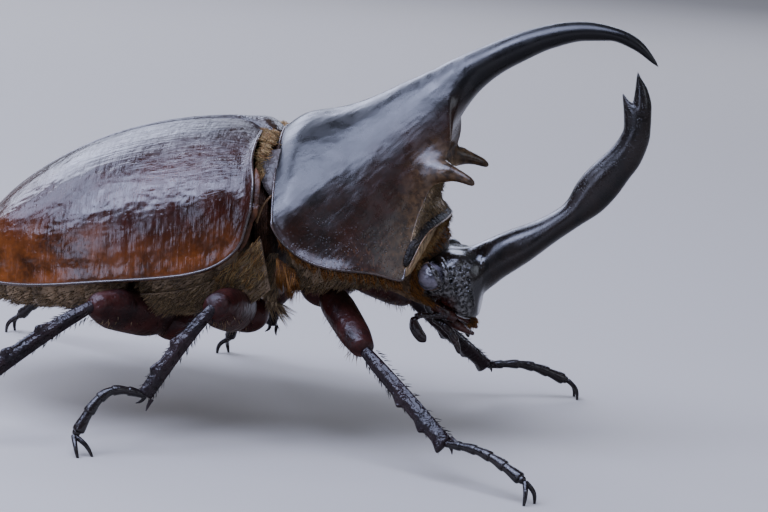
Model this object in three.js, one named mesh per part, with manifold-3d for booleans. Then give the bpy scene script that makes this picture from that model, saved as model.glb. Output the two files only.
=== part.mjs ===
// A centaur rhinoceros beetle (Augosoma centaurus), a large male, life size, standing still on its six feet.
//
// Millimetres, +Z up. The insect faces +X and its right side is at -Y. Its body is drawn in a frame of its
// own, whose origin is on the middle plane, at the hind edge of the pronotum and the height of the wing
// cases' rim. That frame is then pitched nose up and lifted until the claws stand on z = 0, and the whole
// is centred over the origin. Every shell plate and every leg segment is one closed mesh.

import * as THREE from 'three';
import { mergeVertices } from 'three/addons/utils/BufferGeometryUtils.js';
import Module from 'manifold-3d';

const wasm = await Module();
wasm.setup();

// ---- stance ----------------------------------------------------------------------------------------------
const PITCH = THREE.MathUtils.degToRad(4.5); // nose up
const STAND_HEIGHT = 18.9; // body frame's origin above the floor
const GAP = 0.3; // between plates that meet

// ---- wing cases ------------------------------------------------------------------------------------------
const ELYTRA_FRONT = -1.2;
const ELYTRA_APEX = -38;
const ELYTRA_WIDEST = -17;
const ELYTRA_HALF_WIDTH = 17;
const SHOULDER_TAPER = 1.4; // narrower at the shoulders than at the widest place
const ELYTRON_THICKNESS = 1.2;
const CROWN_X = -6; // the highest place of the back
const CROWN_HEIGHT = 16.5;
const RIM_AT_APEX = -1;

// ---- plates of the trunk ---------------------------------------------------------------------------------
const MESOTHORAX = { from: -1.9, to: 0.0, halfWidth: 11.5, top: 13.8, bottom: -4.2 };
const METATHORAX = { from: -14.6, to: -2.2 };
const ABDOMEN = { from: -34.6, to: -14.9 };
const PYGIDIUM = { from: -37.7, to: -34.9 };
const SCUTELLUM = { length: 5.6, halfWidth: 3.0, front: -0.2, top: 16.4, thickness: 1.3, slope: 9 }; // degrees, nose down

// ---- head ------------------------------------------------------------------------------------------------
const EYE = { at: [17.9, 7.3, -0.4], radius: 1.5 };
const SPINE_TIP = [22.6, 7.6, 10.5];
const SPINE_ROOT = [18.4, 6.6, 11.6];

// ---- legs: joints of the right and of the left leg of each pair, in the body frame ---------------------
const LEGS = {
  right_front: { hip: [5.8, -6.6, -1.9], knee: [11.4, -14.9, -7.4], ankle: [21.5, -21.6, -16.4], toe: [30.0, -26.2, -18.7], grip: [31.1, -27.0] },
  right_middle: { hip: [-3.2, -7.4, -5.2], knee: [-4.5, -19.4, -2.1], ankle: [-11.8, -23.0, -11.7], toe: [-18.3, -26.9, -14.8], grip: [-17.3, -28.0] },
  right_hind: { hip: [-11.6, -7.4, -6.2], knee: [-18.0, -20.0, -2.2], ankle: [-29.3, -27.3, -9.6], toe: [-36.7, -31.2, -13.4], grip: [-38.4, -32.0] },
  left_front: { hip: [5.8, 6.6, -1.9], knee: [12.4, 14.4, -6.8], ankle: [21.4, 21.6, -16.8], toe: [30.4, 25.4, -18.9], grip: [32.0, 25.9] },
  left_middle: { hip: [-3.2, 7.4, -5.2], knee: [-2.4, 19.4, -2.2], ankle: [-6.2, 24.4, -12.8], toe: [-12.2, 29.0, -15.4], grip: [-13.4, 30.2] },
  left_hind: { hip: [-11.6, 7.4, -6.2], knee: [-19.6, 19.2, -2.2], ankle: [-31.6, 25.2, -9.6], toe: [-39.2, 28.6, -13.2], grip: [-41.0, 29.4] },
};
// How thick each pair's segments are, how far the tibia bulges up past the knee and the tarsus bows up
// before the toe, where along the tibia its teeth are, and which way its toothed edge looks on the right side.
const LEG_BUILD = {
  front: { coxa: 2.9, femur: [2.1, 1.8], tibia: 0.85, tibiaTip: 1.0, bulge: 0, bow: 0.9, teeth: [0.5, 0.76, 0.97], edge: [-0.55, -0.35, -0.5] },
  middle: { coxa: 2.6, femur: [2.6, 2.0], tibia: 0.8, tibiaTip: 0.95, bulge: 0.35, bow: 2.4, teeth: [0.45, 0.74], edge: [-0.75, -0.5, 0.4] },
  hind: { coxa: 2.8, femur: [2.7, 1.9], tibia: 0.85, tibiaTip: 1.05, bulge: 0.3, bow: 0.8, teeth: [0.42, 0.72], edge: [-0.45, -0.5, 0.75] },
};
const TARSUS_RADIUS = 0.55;
const TARSUS_JOINTS = 4; // besides the small last one, which bears the claws
const CLAW_RADIUS = 0.42;
const CLAW_ROOT = 0.5;
const CLAW_SPLAY = 0.9; // sideways, from the toe's line to a claw's tip
const CLAW_SINK = 0.32; // a claw's tip reaches this far below the floor before it is cut flat

// ---- materials -------------------------------------------------------------------------------------------
const finish = (color, roughness) => new THREE.MeshStandardMaterial({ color, roughness, metalness: 0 });
const blackShell = finish(0x17110f, 0.25);
const hornShell = finish(0x110e0e, 0.35);
const chestnutShell = finish(0x4a170b, 0.25);
const underShell = finish(0x3a2414, 0.55);
const legShell = finish(0x1c0f0d, 0.4);
const eyeLens = finish(0x0c0a0c, 0.1);
const mouthShell = finish(0x3a1209, 0.4);

// ---- small geometry helpers ------------------------------------------------------------------------------
const vec = (p) => new THREE.Vector3(...p);

// A smooth function through a few [x, value] points that never overshoots them (monotone cubic).
function through(points) {
  const xs = points.map((p) => p[0]);
  const ys = points.map((p) => p[1]);
  const last = xs.length - 1;
  const slope = xs.slice(1).map((x, i) => (ys[i + 1] - ys[i]) / (x - xs[i]));
  const tangent = xs.map((_, i) => {
    if (i === 0) return slope[0];
    if (i === last) return slope[last - 1];
    return slope[i - 1] * slope[i] <= 0 ? 0 : (2 * slope[i - 1] * slope[i]) / (slope[i - 1] + slope[i]);
  });
  return (x) => {
    if (x <= xs[0]) return ys[0];
    if (x >= xs[last]) return ys[last];
    const i = xs.findIndex((next) => next > x) - 1;
    const width = xs[i + 1] - xs[i];
    const t = (x - xs[i]) / width;
    return (1 + 2 * t) * (1 - t) ** 2 * ys[i] + t * (1 - t) ** 2 * width * tangent[i]
      + t * t * (3 - 2 * t) * ys[i + 1] + t * t * (t - 1) * width * tangent[i + 1];
  };
}

const evenly = (count, place) => Array.from({ length: count }, (_, i) => place(i / (count - 1)));

// A closed solid from rings of equally many points, with a fan over each end.
function loft(rings) {
  const around = rings[0].length;
  const positions = [];
  rings.flat().forEach((p) => positions.push(p.x, p.y, p.z));
  const index = [];
  for (let r = 0; r + 1 < rings.length; r += 1) {
    for (let k = 0; k < around; k += 1) {
      const a = r * around + k;
      const b = r * around + ((k + 1) % around);
      index.push(a, b, b + around, a, b + around, a + around);
    }
  }
  for (const [ring, start, flip] of [[rings[0], 0, true], [rings.at(-1), (rings.length - 1) * around, false]]) {
    const middle = ring.reduce((sum, p) => sum.add(p), new THREE.Vector3()).divideScalar(around);
    const hub = positions.length / 3;
    positions.push(middle.x, middle.y, middle.z);
    for (let k = 0; k < around; k += 1) {
      const pair = [start + k, start + ((k + 1) % around)];
      index.push(hub, ...(flip ? pair.reverse() : pair));
    }
  }
  return new THREE.BufferGeometry()
    .setAttribute('position', new THREE.Float32BufferAttribute(positions, 3))
    .setIndex(index);
}

// A manifold-3d solid of a closed geometry, turned the right way out.
function solid(geometry) {
  const bare = geometry.clone();
  bare.deleteAttribute('normal');
  bare.deleteAttribute('uv');
  const merged = mergeVertices(bare, 1e-4);
  const build = (triVerts) => new wasm.Manifold(new wasm.Mesh({
    numProp: 3,
    vertProperties: new Float32Array(merged.attributes.position.array),
    triVerts,
  }));
  const made = build(new Uint32Array(merged.index.array));
  return made.volume() < 0 ? build(new Uint32Array([...merged.index.array].reverse())) : made;
}

// Cuts can leave a sliver beside the piece itself.
const largest = (manifold) => manifold.decompose().sort((a, b) => b.volume() - a.volume())[0];

function geometryOf(manifold) {
  const { vertProperties, triVerts } = manifold.getMesh();
  return new THREE.BufferGeometry()
    .setAttribute('position', new THREE.Float32BufferAttribute(vertProperties, 3))
    .setIndex(new THREE.BufferAttribute(new Uint32Array(triVerts), 1));
}

// A tapering limb: rings square to a path, `side` wide along one axis and `depth` thick along the other,
// each a function of the share of the way along. corner 1 is an ellipse, and less is boxier.
function limb({ path, across, side, depth = side, rings = 8, sides = 8, corner = 1 }) {
  return loft(evenly(rings, (t) => {
    const along = path.getTangentAt(t);
    const wide = across.clone().addScaledVector(along, -across.dot(along)).normalize();
    const deep = new THREE.Vector3().crossVectors(along, wide);
    const at = path.getPointAt(t);
    return Array.from({ length: sides }, (_, k) => {
      const angle = (k / sides) * 2 * Math.PI;
      const c = Math.cos(angle);
      const s = Math.sin(angle);
      return at.clone()
        .addScaledVector(wide, Math.sign(c) * Math.abs(c) ** corner * side(t))
        .addScaledVector(deep, Math.sign(s) * Math.abs(s) ** corner * depth(t));
    });
  }));
}

const pathThrough = (...points) => new THREE.CatmullRomCurve3(points.map((p) => (p.isVector3 ? p : vec(p))), false, 'centripetal');
const ACROSS = new THREE.Vector3(0, 1, 0);

function ellipsoid(at, radii, turn = 0, detail = [12, 8]) {
  return new THREE.SphereGeometry(1, ...detail)
    .rotateX(Math.PI / 2)
    .scale(...radii)
    .rotateY(turn)
    .translate(...at);
}

// The other side of a piece, its faces turned back out by solid().
const mirrored = (geometry) => geometry.clone().scale(1, -1, 1);

const body = new THREE.Group();
body.rotation.y = -PITCH;
body.position.z = STAND_HEIGHT;

function add(name, shape, material) {
  const made = shape.isBufferGeometry ? solid(shape) : shape;
  const mesh = new THREE.Mesh(geometryOf(made), material);
  mesh.name = name;
  body.add(mesh);
  return made;
}

// ---- wing cases: two domed shells that meet on the middle line --------------------------------------------
const rimHeight = through([[-38, RIM_AT_APEX], [-30, -1.0], [-18, -0.1], [-9.3, 0.7], [-6.2, 1.4], [-4.2, 2.4], [-2.4, 4.2], [-1.2, 8]]);

function crownHeight(x) {
  const back = Math.max(0, (CROWN_X - x) / (CROWN_X - ELYTRA_APEX));
  const front = Math.max(0, x - CROWN_X);
  return RIM_AT_APEX + (CROWN_HEIGHT - RIM_AT_APEX) * Math.max(0, 1 - back ** 2) ** 0.67 - 0.045 * front ** 2;
}

function elytraHalfWidth(x) {
  if (x > ELYTRA_WIDEST) return ELYTRA_HALF_WIDTH - SHOULDER_TAPER * ((x - ELYTRA_WIDEST) / (ELYTRA_FRONT - ELYTRA_WIDEST)) ** 2;
  return ELYTRA_HALF_WIDTH * Math.sqrt(Math.max(0, 1 - ((ELYTRA_WIDEST - x) / (ELYTRA_WIDEST - ELYTRA_APEX)) ** 2.6));
}

// A point of the dome, `inset` under its outer face, at an angle that is 0 on the middle line and 90 degrees
// at the rim. The corner value makes the flanks a little fuller than an ellipse.
function domePoint(x, angle, inset) {
  const halfWidth = elytraHalfWidth(x);
  const rim = rimHeight(x);
  const rise = crownHeight(x) - rim;
  const shrink = Math.min(inset, 0.45 * halfWidth, 0.45 * rise);
  const corner = 0.93;
  return new THREE.Vector3(
    x,
    (halfWidth - shrink) * Math.sin(angle) ** corner,
    rim + (rise - shrink) * Math.max(0, Math.cos(angle)) ** corner,
  );
}

function elytron() {
  const rings = evenly(14, (u) => {
    const eased = 0.5 - 0.5 * Math.cos(Math.PI * u);
    const x = ELYTRA_FRONT + (ELYTRA_APEX + 0.25 - ELYTRA_FRONT) * eased;
    const seam = (p) => p.setY(Math.max(p.y, GAP / 2));
    const outer = evenly(10, (v) => seam(domePoint(x, v * Math.PI / 2, 0)));
    const inner = evenly(6, (v) => seam(domePoint(x, (1 - v) * Math.PI / 2, ELYTRON_THICKNESS)));
    return [...outer, ...inner];
  });
  return loft(rings);
}

// The small triangular plate between the wing cases' front corners.
function scutellum(grow) {
  const outline = new THREE.Shape();
  outline.moveTo(SCUTELLUM.front + grow, -SCUTELLUM.halfWidth - grow);
  outline.lineTo(SCUTELLUM.front + grow, SCUTELLUM.halfWidth + grow);
  outline.quadraticCurveTo(
    -SCUTELLUM.length * 0.6, SCUTELLUM.halfWidth * 0.75 + grow,
    -SCUTELLUM.length - grow, 0,
  );
  outline.quadraticCurveTo(
    -SCUTELLUM.length * 0.6, -SCUTELLUM.halfWidth * 0.75 - grow,
    SCUTELLUM.front + grow, -SCUTELLUM.halfWidth - grow,
  );
  return new THREE.ExtrudeGeometry(outline, {
    depth: SCUTELLUM.thickness + (grow > 0 ? 6 : 0),
    bevelEnabled: false,
    curveSegments: 5,
  }).translate(SCUTELLUM.length, 0, -SCUTELLUM.thickness - grow)
    .rotateY(THREE.MathUtils.degToRad(SCUTELLUM.slope))
    .translate(-SCUTELLUM.length, 0, SCUTELLUM.top);
}

add('scutellum', scutellum(0), blackShell);
const notch = solid(scutellum(GAP));
for (const [name, shape] of [['elytron_left', elytron()], ['elytron_right', mirrored(elytron())]]) {
  add(name, solid(shape).subtract(notch), chestnutShell);
}

// ---- trunk under the wing cases --------------------------------------------------------------------------
const bellyDepth = through([[-38, -2.2], [-35.5, -3.9], [-30, -5.2], [-22, -5.6], [-15, -5.3], [-8, -5.9], [-2, -5.0]]);
const TRUNK_INSET = ELYTRON_THICKNESS + 1.3 * GAP;

// A ring of the trunk: its back follows the wing cases' inner face, and its belly is a flatter bow.
function trunkRing(x, grow = 0) {
  const back = evenly(9, (v) => {
    const angle = Math.PI * (v - 0.5);
    const p = domePoint(x, Math.abs(angle), TRUNK_INSET - grow);
    return p.setY(p.y * Math.sign(angle));
  });
  const width = back.at(-1).y;
  const rim = back.at(-1).z;
  const depth = rim - bellyDepth(x) + grow;
  const belly = evenly(11, (v) => {
    const angle = Math.PI * v;
    return new THREE.Vector3(x, width * Math.sign(Math.cos(angle)) * Math.abs(Math.cos(angle)) ** 0.8, rim - depth * Math.sin(angle) ** 0.75);
  }).slice(1, -1);
  return [...back, ...belly];
}

const trunk = ({ from, to }, rings, grow = 0) => loft(evenly(rings, (u) => trunkRing(from + (to - from) * u, grow)));
add('abdomen', trunk(ABDOMEN, 7), underShell);
add('pygidium', trunk(PYGIDIUM, 4), underShell);
add('metathorax', trunk(METATHORAX, 5), underShell);

// The waist between pronotum and wing cases.
function waist({ from, to, halfWidth, top, bottom }) {
  const middle = (top + bottom) / 2;
  const half = (top - bottom) / 2;
  return loft(evenly(2, (u) => Array.from({ length: 20 }, (_, k) => {
    const angle = (k / 20) * 2 * Math.PI;
    return new THREE.Vector3(from + (to - from) * u, halfWidth * Math.cos(angle), middle + half * Math.sin(angle));
  })));
}
add('mesothorax', waist(MESOTHORAX), underShell);

// ---- pronotum: one plate that rises into the horn and bears two spines -----------------------------------
// Stations from the hind edge to the horn's root. The crown is on the middle line, the edge is the plate's
// side margin and then the ridge that bears the spine, and the foot closes the section on the middle line
// below. A flare of 1 makes the flank an ellipse, 2 makes it straight, and more hollows it.
const PRONOTUM = [
  { crown: [0.3, 15.4], edge: [1.1, 14.5, 6.3], foot: [1.2, 5.7], flare: 1.2 },
  { crown: [2.6, 17.1], edge: [2.1, 15.1, 4.8], foot: [2.1, 4.3], flare: 1.12 },
  { crown: [6.3, 17.8], edge: [5.0, 15.6, 2.6], foot: [5.0, 2.2], flare: 1.1 },
  { crown: [10.7, 19.2], edge: [9.5, 15.0, 1.4], foot: [9.5, 1.0], flare: 1.25 },
  { crown: [13.7, 20.6], edge: [13.0, 12.6, 0.7], foot: [13.2, 0.3], flare: 1.5 },
  { crown: [15.7, 21.6], edge: [15.3, 10.3, 0.0], foot: [15.8, -0.4], flare: 1.7 },
  { crown: [16.4, 21.9], edge: [15.6, 10.0, 1.2], foot: [18.9, 5.6], flare: 1.8 },
  { crown: [17.2, 22.3], edge: [16.6, 9.5, 6.4], foot: [18.3, 8.4], flare: 1.9 },
  { crown: [18.0, 22.7], edge: [19.2, 7.5, 10.9], foot: [18.4, 10.8], flare: 2.1 },
  { crown: [18.7, 23.05], edge: [20.1, 4.6, 14.2], foot: [20.0, 14.0], flare: 1.8 },
  { crown: [19.5, 23.5], edge: [20.4, 3.0, 17.8], foot: [20.6, 16.8], flare: 1.4 },
  { crown: [20.6, 24.0], edge: [21.6, 2.4, 22.0], foot: [22.7, 19.9], flare: 1.0 },
];
const alongStations = (read) => through(PRONOTUM.map((station, i) => [i, read(station)]));
const pronotumAt = {
  crownX: alongStations((s) => s.crown[0]),
  crownZ: alongStations((s) => s.crown[1]),
  edgeX: alongStations((s) => s.edge[0]),
  edgeY: alongStations((s) => s.edge[1]),
  edgeZ: alongStations((s) => s.edge[2]),
  footX: alongStations((s) => s.foot[0]),
  footZ: alongStations((s) => s.foot[1]),
  flare: alongStations((s) => s.flare),
};
const FLANK_POINTS = 8;
const UNDERSIDE_POINTS = 3;

function pronotumRing(s) {
  const at = Object.fromEntries(Object.entries(pronotumAt).map(([key, read]) => [key, read(s)]));
  const flank = evenly(FLANK_POINTS, (v) => {
    const angle = v * Math.PI / 2;
    const lift = Math.max(0, Math.cos(angle)) ** at.flare;
    return new THREE.Vector3(
      at.edgeX + (at.crownX - at.edgeX) * lift,
      at.edgeY * Math.sin(angle) ** at.flare,
      at.edgeZ + (at.crownZ - at.edgeZ) * lift,
    );
  });
  const underside = evenly(UNDERSIDE_POINTS + 1, (v) => {
    const angle = v * Math.PI / 2;
    return new THREE.Vector3(
      at.edgeX + (at.footX - at.edgeX) * Math.sin(angle),
      at.edgeY * Math.max(0, Math.cos(angle)),
      at.edgeZ + (at.footZ - at.edgeZ) * Math.sin(angle),
    );
  }).slice(1);
  const half = [...flank, ...underside];
  const other = half.slice(1, -1).reverse().map((p) => new THREE.Vector3(p.x, -p.y, p.z));
  return [...half, ...other];
}

const spine = (tip, root) => limb({
  path: pathThrough(root, [(root[0] + tip[0]) / 2 + 0.3, (root[1] + tip[1]) / 2, (root[2] + tip[2]) / 2 - 0.1], tip),
  across: ACROSS,
  side: through([[0, 2.0], [0.45, 0.95], [0.8, 0.5], [1, 0.22]]),
  rings: 5,
  sides: 7,
});
const flip = ([x, y, z]) => [x, -y, z];

const pronotum = solid(loft(evenly(19, (u) => pronotumRing(u * (PRONOTUM.length - 1)))));
const spines = [solid(spine(SPINE_TIP, SPINE_ROOT)), solid(spine(flip(SPINE_TIP), flip(SPINE_ROOT)))];
add('pronotum', pronotum.add(spines[0]).add(spines[1]), blackShell);

// The long horn goes on from the pronotum's last station, bows forward and ends in a point.
const thoracicHorn = limb({
  path: pathThrough([21.95, 0, 22.2], [26.05, 0, 24.45], [30.45, 0, 26.25], [34.9, 0, 26.9], [39.2, 0, 26.1], [42.8, 0, 23.1]),
  across: ACROSS,
  side: through([[0, 2.3], [0.3, 1.7], [0.6, 1.35], [0.85, 0.8], [1, 0.25]]),
  depth: through([[0, 2.25], [0.12, 1.85], [0.3, 1.6], [0.5, 1.3], [0.7, 1.0], [0.88, 0.75], [1, 0.25]]),
  rings: 15,
  sides: 10,
  corner: 0.85,
});
add('thoracic_horn', thoracicHorn, hornShell);

// The underside of the prothorax, which carries the front legs.
function prosternumRing(u) {
  const x = 1.9 + 13.2 * u;
  const station = through(PRONOTUM.slice(0, 6).map((s, i) => [s.edge[0], i]))(x);
  const top = pronotumAt.footZ(station) - 1.4 * GAP;
  const bottom = through([[1.9, -2.6], [6, -3.2], [10, -2.1], [15.1, -1.9]])(x);
  const halfWidth = pronotumAt.edgeY(station) - 1.6 - 3.4 * u;
  const upper = evenly(7, (v) => new THREE.Vector3(x, halfWidth * (1 - 2 * v), top));
  const lower = evenly(11, (v) => {
    const angle = Math.PI * v;
    return new THREE.Vector3(x, -halfWidth * Math.cos(angle), top - (top - bottom) * Math.sin(angle) ** 0.8);
  }).slice(1, -1);
  return [...upper, ...lower];
}
const prosternum = loft(evenly(6, prosternumRing));
add('prosternum', prosternum, underShell);

// ---- head ------------------------------------------------------------------------------------------------
const HEAD_TURN = THREE.MathUtils.degToRad(41); // the face slopes down this much
const headCapsule = limb({
  path: pathThrough([15.9, 0, -0.4], [18.2, 0, -1.2], [20.3, 0, -3.6], [22.1, 0, -6.1]),
  across: ACROSS,
  side: through([[0, 5.4], [0.25, 7.0], [0.5, 6.4], [0.8, 4.4], [1, 3.4]]),
  depth: through([[0, 2.0], [0.25, 2.7], [0.5, 2.6], [0.8, 1.3], [1, 0.5]]),
  rings: 8,
  sides: 14,
  corner: 0.85,
});
const eyes = [EYE.at, flip(EYE.at)].map((at) => ellipsoid(at, [EYE.radius, EYE.radius, EYE.radius * 1.05], HEAD_TURN, [11, 7]));
const eyeSockets = [EYE.at, flip(EYE.at)].map((at) => solid(ellipsoid(at, Array(3).fill(EYE.radius + GAP), HEAD_TURN, [11, 7])));

const HORN_PATH = [[22.0, 0, -1.2], [24.6, 0, 0.8], [28.0, 0, 2.3], [32.2, 0, 5.0], [35.7, 0, 8.4], [38.2, 0, 11.2], [40.2, 0, 14.3], [40.85, 0, 17.5], [41.1, 0, 20.0], [40.65, 0, 22.35]];
const hornShaft = limb({
  path: pathThrough(...HORN_PATH),
  across: ACROSS,
  side: through([[0, 2.9], [0.15, 2.2], [0.4, 1.8], [0.75, 1.4], [0.92, 0.7], [1, 0.2]]),
  depth: through([[0, 3.2], [0.1, 2.5], [0.22, 2.15], [0.36, 1.75], [0.52, 2.0], [0.64, 1.95], [0.75, 1.65], [0.85, 1.4], [0.9, 0.95], [1, 0.2]]),
  rings: 17,
  sides: 10,
  corner: 0.75,
});
const hornTooth = limb({
  path: pathThrough([40.4, 0, 16.9], [39.6, 0, 18.2], [39.15, 0, 19.7]),
  across: ACROSS,
  side: through([[0, 0.9], [1, 0.22]]),
  rings: 4,
});
const headHorn = solid(hornShaft).add(solid(hornTooth));
const hornSocket = solid(limb({
  path: pathThrough(...HORN_PATH.slice(0, 3)),
  across: ACROSS,
  side: through([[0, 3.2], [1, 2.3]]),
  depth: through([[0, 3.9], [0.5, 2.9], [1, 2.6]]),
  rings: 4,
  sides: 10,
  corner: 0.75,
}));
const collar = pronotum.add(pronotum.translate([GAP, 0, -GAP])).add(pronotum.translate([GAP, 0, GAP / 2]));
const headCut = [...eyeSockets, hornSocket, collar].reduce((left, cutter) => left.subtract(cutter), solid(headCapsule));
add('head', largest(headCut), blackShell);
add('head_horn', headHorn, hornShell);
['left', 'right'].forEach((side, i) => add(`eye_${side}`, eyes[i], eyeLens));

// Antennae, palps and jaws hang under the head: the scape and funicle, the club, the palp and the jaw.
const MOUTH = {
  funicle: { path: [[19.6, 5.4, -5.6], [18.4, 6.8, -5.7], [17.0, 8.0, -5.2]], radius: [[0, 0.4], [0.5, 0.32], [1, 0.4]], sides: 6 },
  club: { path: [[16.4, 8.5, -5.8], [16.75, 8.5, -6.7], [17.6, 8.2, -7.7]], radius: [[0, 0.3], [0.35, 0.65], [0.8, 0.62], [1, 0.3]], sides: 7 },
  palp: { path: [[17.9, 3.8, -6.6], [19.4, 4.5, -6.9], [20.5, 4.9, -8.0], [20.95, 5.0, -9.8]], radius: [[0, 0.45], [0.35, 0.55], [0.6, 0.5], [1, 0.22]], sides: 6 },
  mandible: { path: [[18.9, 2.2, -7.0], [20.7, 2.5, -7.9], [22.5, 1.6, -8.5]], radius: [[0, 0.9], [0.6, 0.8], [1, 0.35]], sides: 7 },
};
for (const [name, { path, radius, sides }] of Object.entries(MOUTH)) {
  const piece = limb({ path: pathThrough(...path), across: ACROSS, side: through(radius), rings: 5, sides });
  const material = name === 'mandible' ? mouthShell : legShell;
  add(`${name}_left`, piece, material);
  add(`${name}_right`, mirrored(piece), material);
}

// ---- legs ------------------------------------------------------------------------------------------------
// The floor, seen from the body frame, as a thick slab to cut the claws flat with.
const floorSlab = new THREE.BoxGeometry(200, 200, 20);
floorSlab.applyMatrix4(new THREE.Matrix4().makeTranslation(0, 0, -10));
body.updateMatrix();
floorSlab.applyMatrix4(body.matrix.clone().invert());
const floor = solid(floorSlab);
const floorHeight = (x) => (-STAND_HEIGHT - x * Math.sin(PITCH)) / Math.cos(PITCH);

// A pointed tooth on the edge of a tibia.
function tooth(at, direction, length, radius) {
  return solid(limb({
    path: new THREE.LineCurve3(at.clone().addScaledVector(direction, -radius * 0.6), at.clone().addScaledVector(direction, length)),
    across: Math.abs(direction.y) > 0.9 ? new THREE.Vector3(1, 0, 0) : ACROSS,
    side: through([[0, radius], [1, 0.15]]),
    rings: 2,
    sides: 5,
  }));
}

// The trunk's plates and the room round them, which the legs' first segments are cut back from.
const plates = [
  solid(trunk(METATHORAX, 6, GAP)),
  solid(trunk({ from: ABDOMEN.from - GAP, to: ABDOMEN.to + GAP }, 8, GAP)),
  solid(waist({ ...MESOTHORAX, from: MESOTHORAX.from - GAP, to: MESOTHORAX.to + GAP, halfWidth: MESOTHORAX.halfWidth + GAP, bottom: MESOTHORAX.bottom - GAP })),
  solid(prosternum.clone().translate(0, 0, -GAP)),
  solid(prosternum),
  pronotum,
];
const clearOfPlates = (manifold) => largest(plates.reduce((left, plate) => left.subtract(plate), manifold));

function leg(name, joints, build) {
  const [hip, knee, ankle, toe] = [joints.hip, joints.knee, joints.ankle, joints.toe].map(vec);
  const femurWay = knee.clone().sub(hip).normalize();
  const tibiaWay = ankle.clone().sub(knee).normalize();
  const bend = new THREE.Vector3().crossVectors(femurWay, tibiaWay).normalize();

  // femur: a stout spindle from inside the coxa to a round knee
  const [femurWide, femurDeep] = build.femur;
  const kneeRadius = 0.72 * femurDeep;
  const femurShape = (grow) => solid(limb({
    path: new THREE.LineCurve3(hip, knee.clone().addScaledVector(femurWay, 0.5 + grow)),
    across: bend.clone().cross(femurWay),
    side: through([[0, femurWide * 0.55 + grow], [0.35, femurWide + grow], [0.7, femurWide * 0.95 + grow], [0.93, kneeRadius * 1.15 + grow], [1, kneeRadius * 0.55 + grow]]),
    depth: through([[0, femurDeep * 0.55 + grow], [0.35, femurDeep + grow], [0.7, femurDeep * 0.95 + grow], [0.93, kneeRadius + grow], [1, kneeRadius * 0.55 + grow]]),
    rings: 7,
    sides: 7,
  }));
  add(`femur_${name}`, clearOfPlates(femurShape(0)), legShell);

  // coxa: a rounded block under the thorax that the femur sits in
  const block = solid(ellipsoid(joints.hip, [build.coxa, build.coxa * 0.95, build.coxa * 0.85], 0, [9, 6]));
  add(`coxa_${name}`, clearOfPlates(block.subtract(femurShape(GAP))), legShell);

  // tibia: slender, starting against the knee, with teeth along one edge and a spur at the ankle
  const edge = vec(joints.hip[1] < 0 ? build.edge : flip(build.edge));
  const outward = edge.addScaledVector(tibiaWay, -edge.dot(tibiaWay)).normalize();
  const elbow = knee.clone().lerp(ankle, 0.22);
  elbow.z += build.bulge;
  const tibiaPath = pathThrough(knee, elbow, ankle);
  let tibia = solid(limb({
    path: tibiaPath,
    across: outward,
    side: through([[0, build.tibia * 0.8], [0.2, build.tibia], [0.9, build.tibiaTip], [1, build.tibiaTip * 0.85]]),
    depth: through([[0, build.tibia * 0.75], [0.2, build.tibia * 0.85], [1, build.tibia * 0.8]]),
    rings: 5,
    sides: 6,
  })).subtract(femurShape(GAP));
  const toothWay = outward.clone().multiplyScalar(0.75).add(tibiaWay.clone().multiplyScalar(0.65)).normalize();
  for (const share of build.teeth) {
    const at = tibiaPath.getPointAt(share).addScaledVector(outward, build.tibia * 0.6);
    tibia = tibia.add(tooth(at, toothWay, build.tibia * 1.3, 0.8));
  }
  add(`tibia_${name}`, largest(tibia), legShell);

  // tarsus: small segments in a row, each widening to its far end
  const tarsusStart = ankle.clone().addScaledVector(toe.clone().sub(ankle).normalize(), GAP).addScaledVector(tibiaWay, GAP);
  const middle = tarsusStart.clone().lerp(toe, 0.5);
  middle.z += build.bow;
  const tarsus = solid(limb({
    path: pathThrough(tarsusStart, middle, toe),
    across: bend,
    side: (t) => TARSUS_RADIUS * (t >= 1 ? 0.65 : 0.72 + 0.42 * ((t * TARSUS_JOINTS) % 1) + 0.12 * t),
    rings: 2 * TARSUS_JOINTS + 1,
    sides: 6,
  }));
  add(`tarsus_${name}`, largest(tarsus.subtract(tibia)), legShell);

  // claws: a pair of hooks from a small shared root, cut flat where they stand
  const grip = new THREE.Vector3(...joints.grip, floorHeight(joints.grip[0]) - CLAW_SINK);
  const root = toe.clone().addScaledVector(toe.clone().sub(middle).normalize(), CLAW_ROOT + GAP);
  const sideways = new THREE.Vector3().crossVectors(grip.clone().sub(toe), new THREE.Vector3(0, 0, 1)).normalize();
  const outOver = new THREE.Vector3(grip.x - toe.x, grip.y - toe.y, 0);
  let claws = solid(ellipsoid(root.toArray(), [CLAW_ROOT, CLAW_ROOT, CLAW_ROOT], 0, [6, 4]));
  for (const way of [-1, 1]) {
    const bowOut = root.clone().lerp(grip, 0.45).addScaledVector(outOver, 0.3).addScaledVector(sideways, way * CLAW_SPLAY * 0.75);
    claws = claws.add(solid(limb({
      path: pathThrough(root, bowOut, grip.clone().addScaledVector(sideways, way * CLAW_SPLAY)),
      across: ACROSS,
      side: through([[0, CLAW_RADIUS], [0.7, CLAW_RADIUS * 0.9], [1, 0.3]]),
      rings: 4,
      sides: 4,
    })));
  }
  add(`claws_${name}`, claws.subtract(floor), legShell);
}

for (const [name, joints] of Object.entries(LEGS)) leg(name, joints, LEG_BUILD[name.split('_')[1]]);

// ---- centre the whole over the origin --------------------------------------------------------------------
const beetle = new THREE.Group();
beetle.add(body);
beetle.updateMatrixWorld(true);
const middle = new THREE.Box3().setFromObject(beetle, true).getCenter(new THREE.Vector3());
body.position.x = -middle.x;
body.position.y = -middle.y;

export default beetle;
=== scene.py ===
import math

import bmesh
import bpy
import numpy as np
from mathutils import Matrix, Vector


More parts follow.
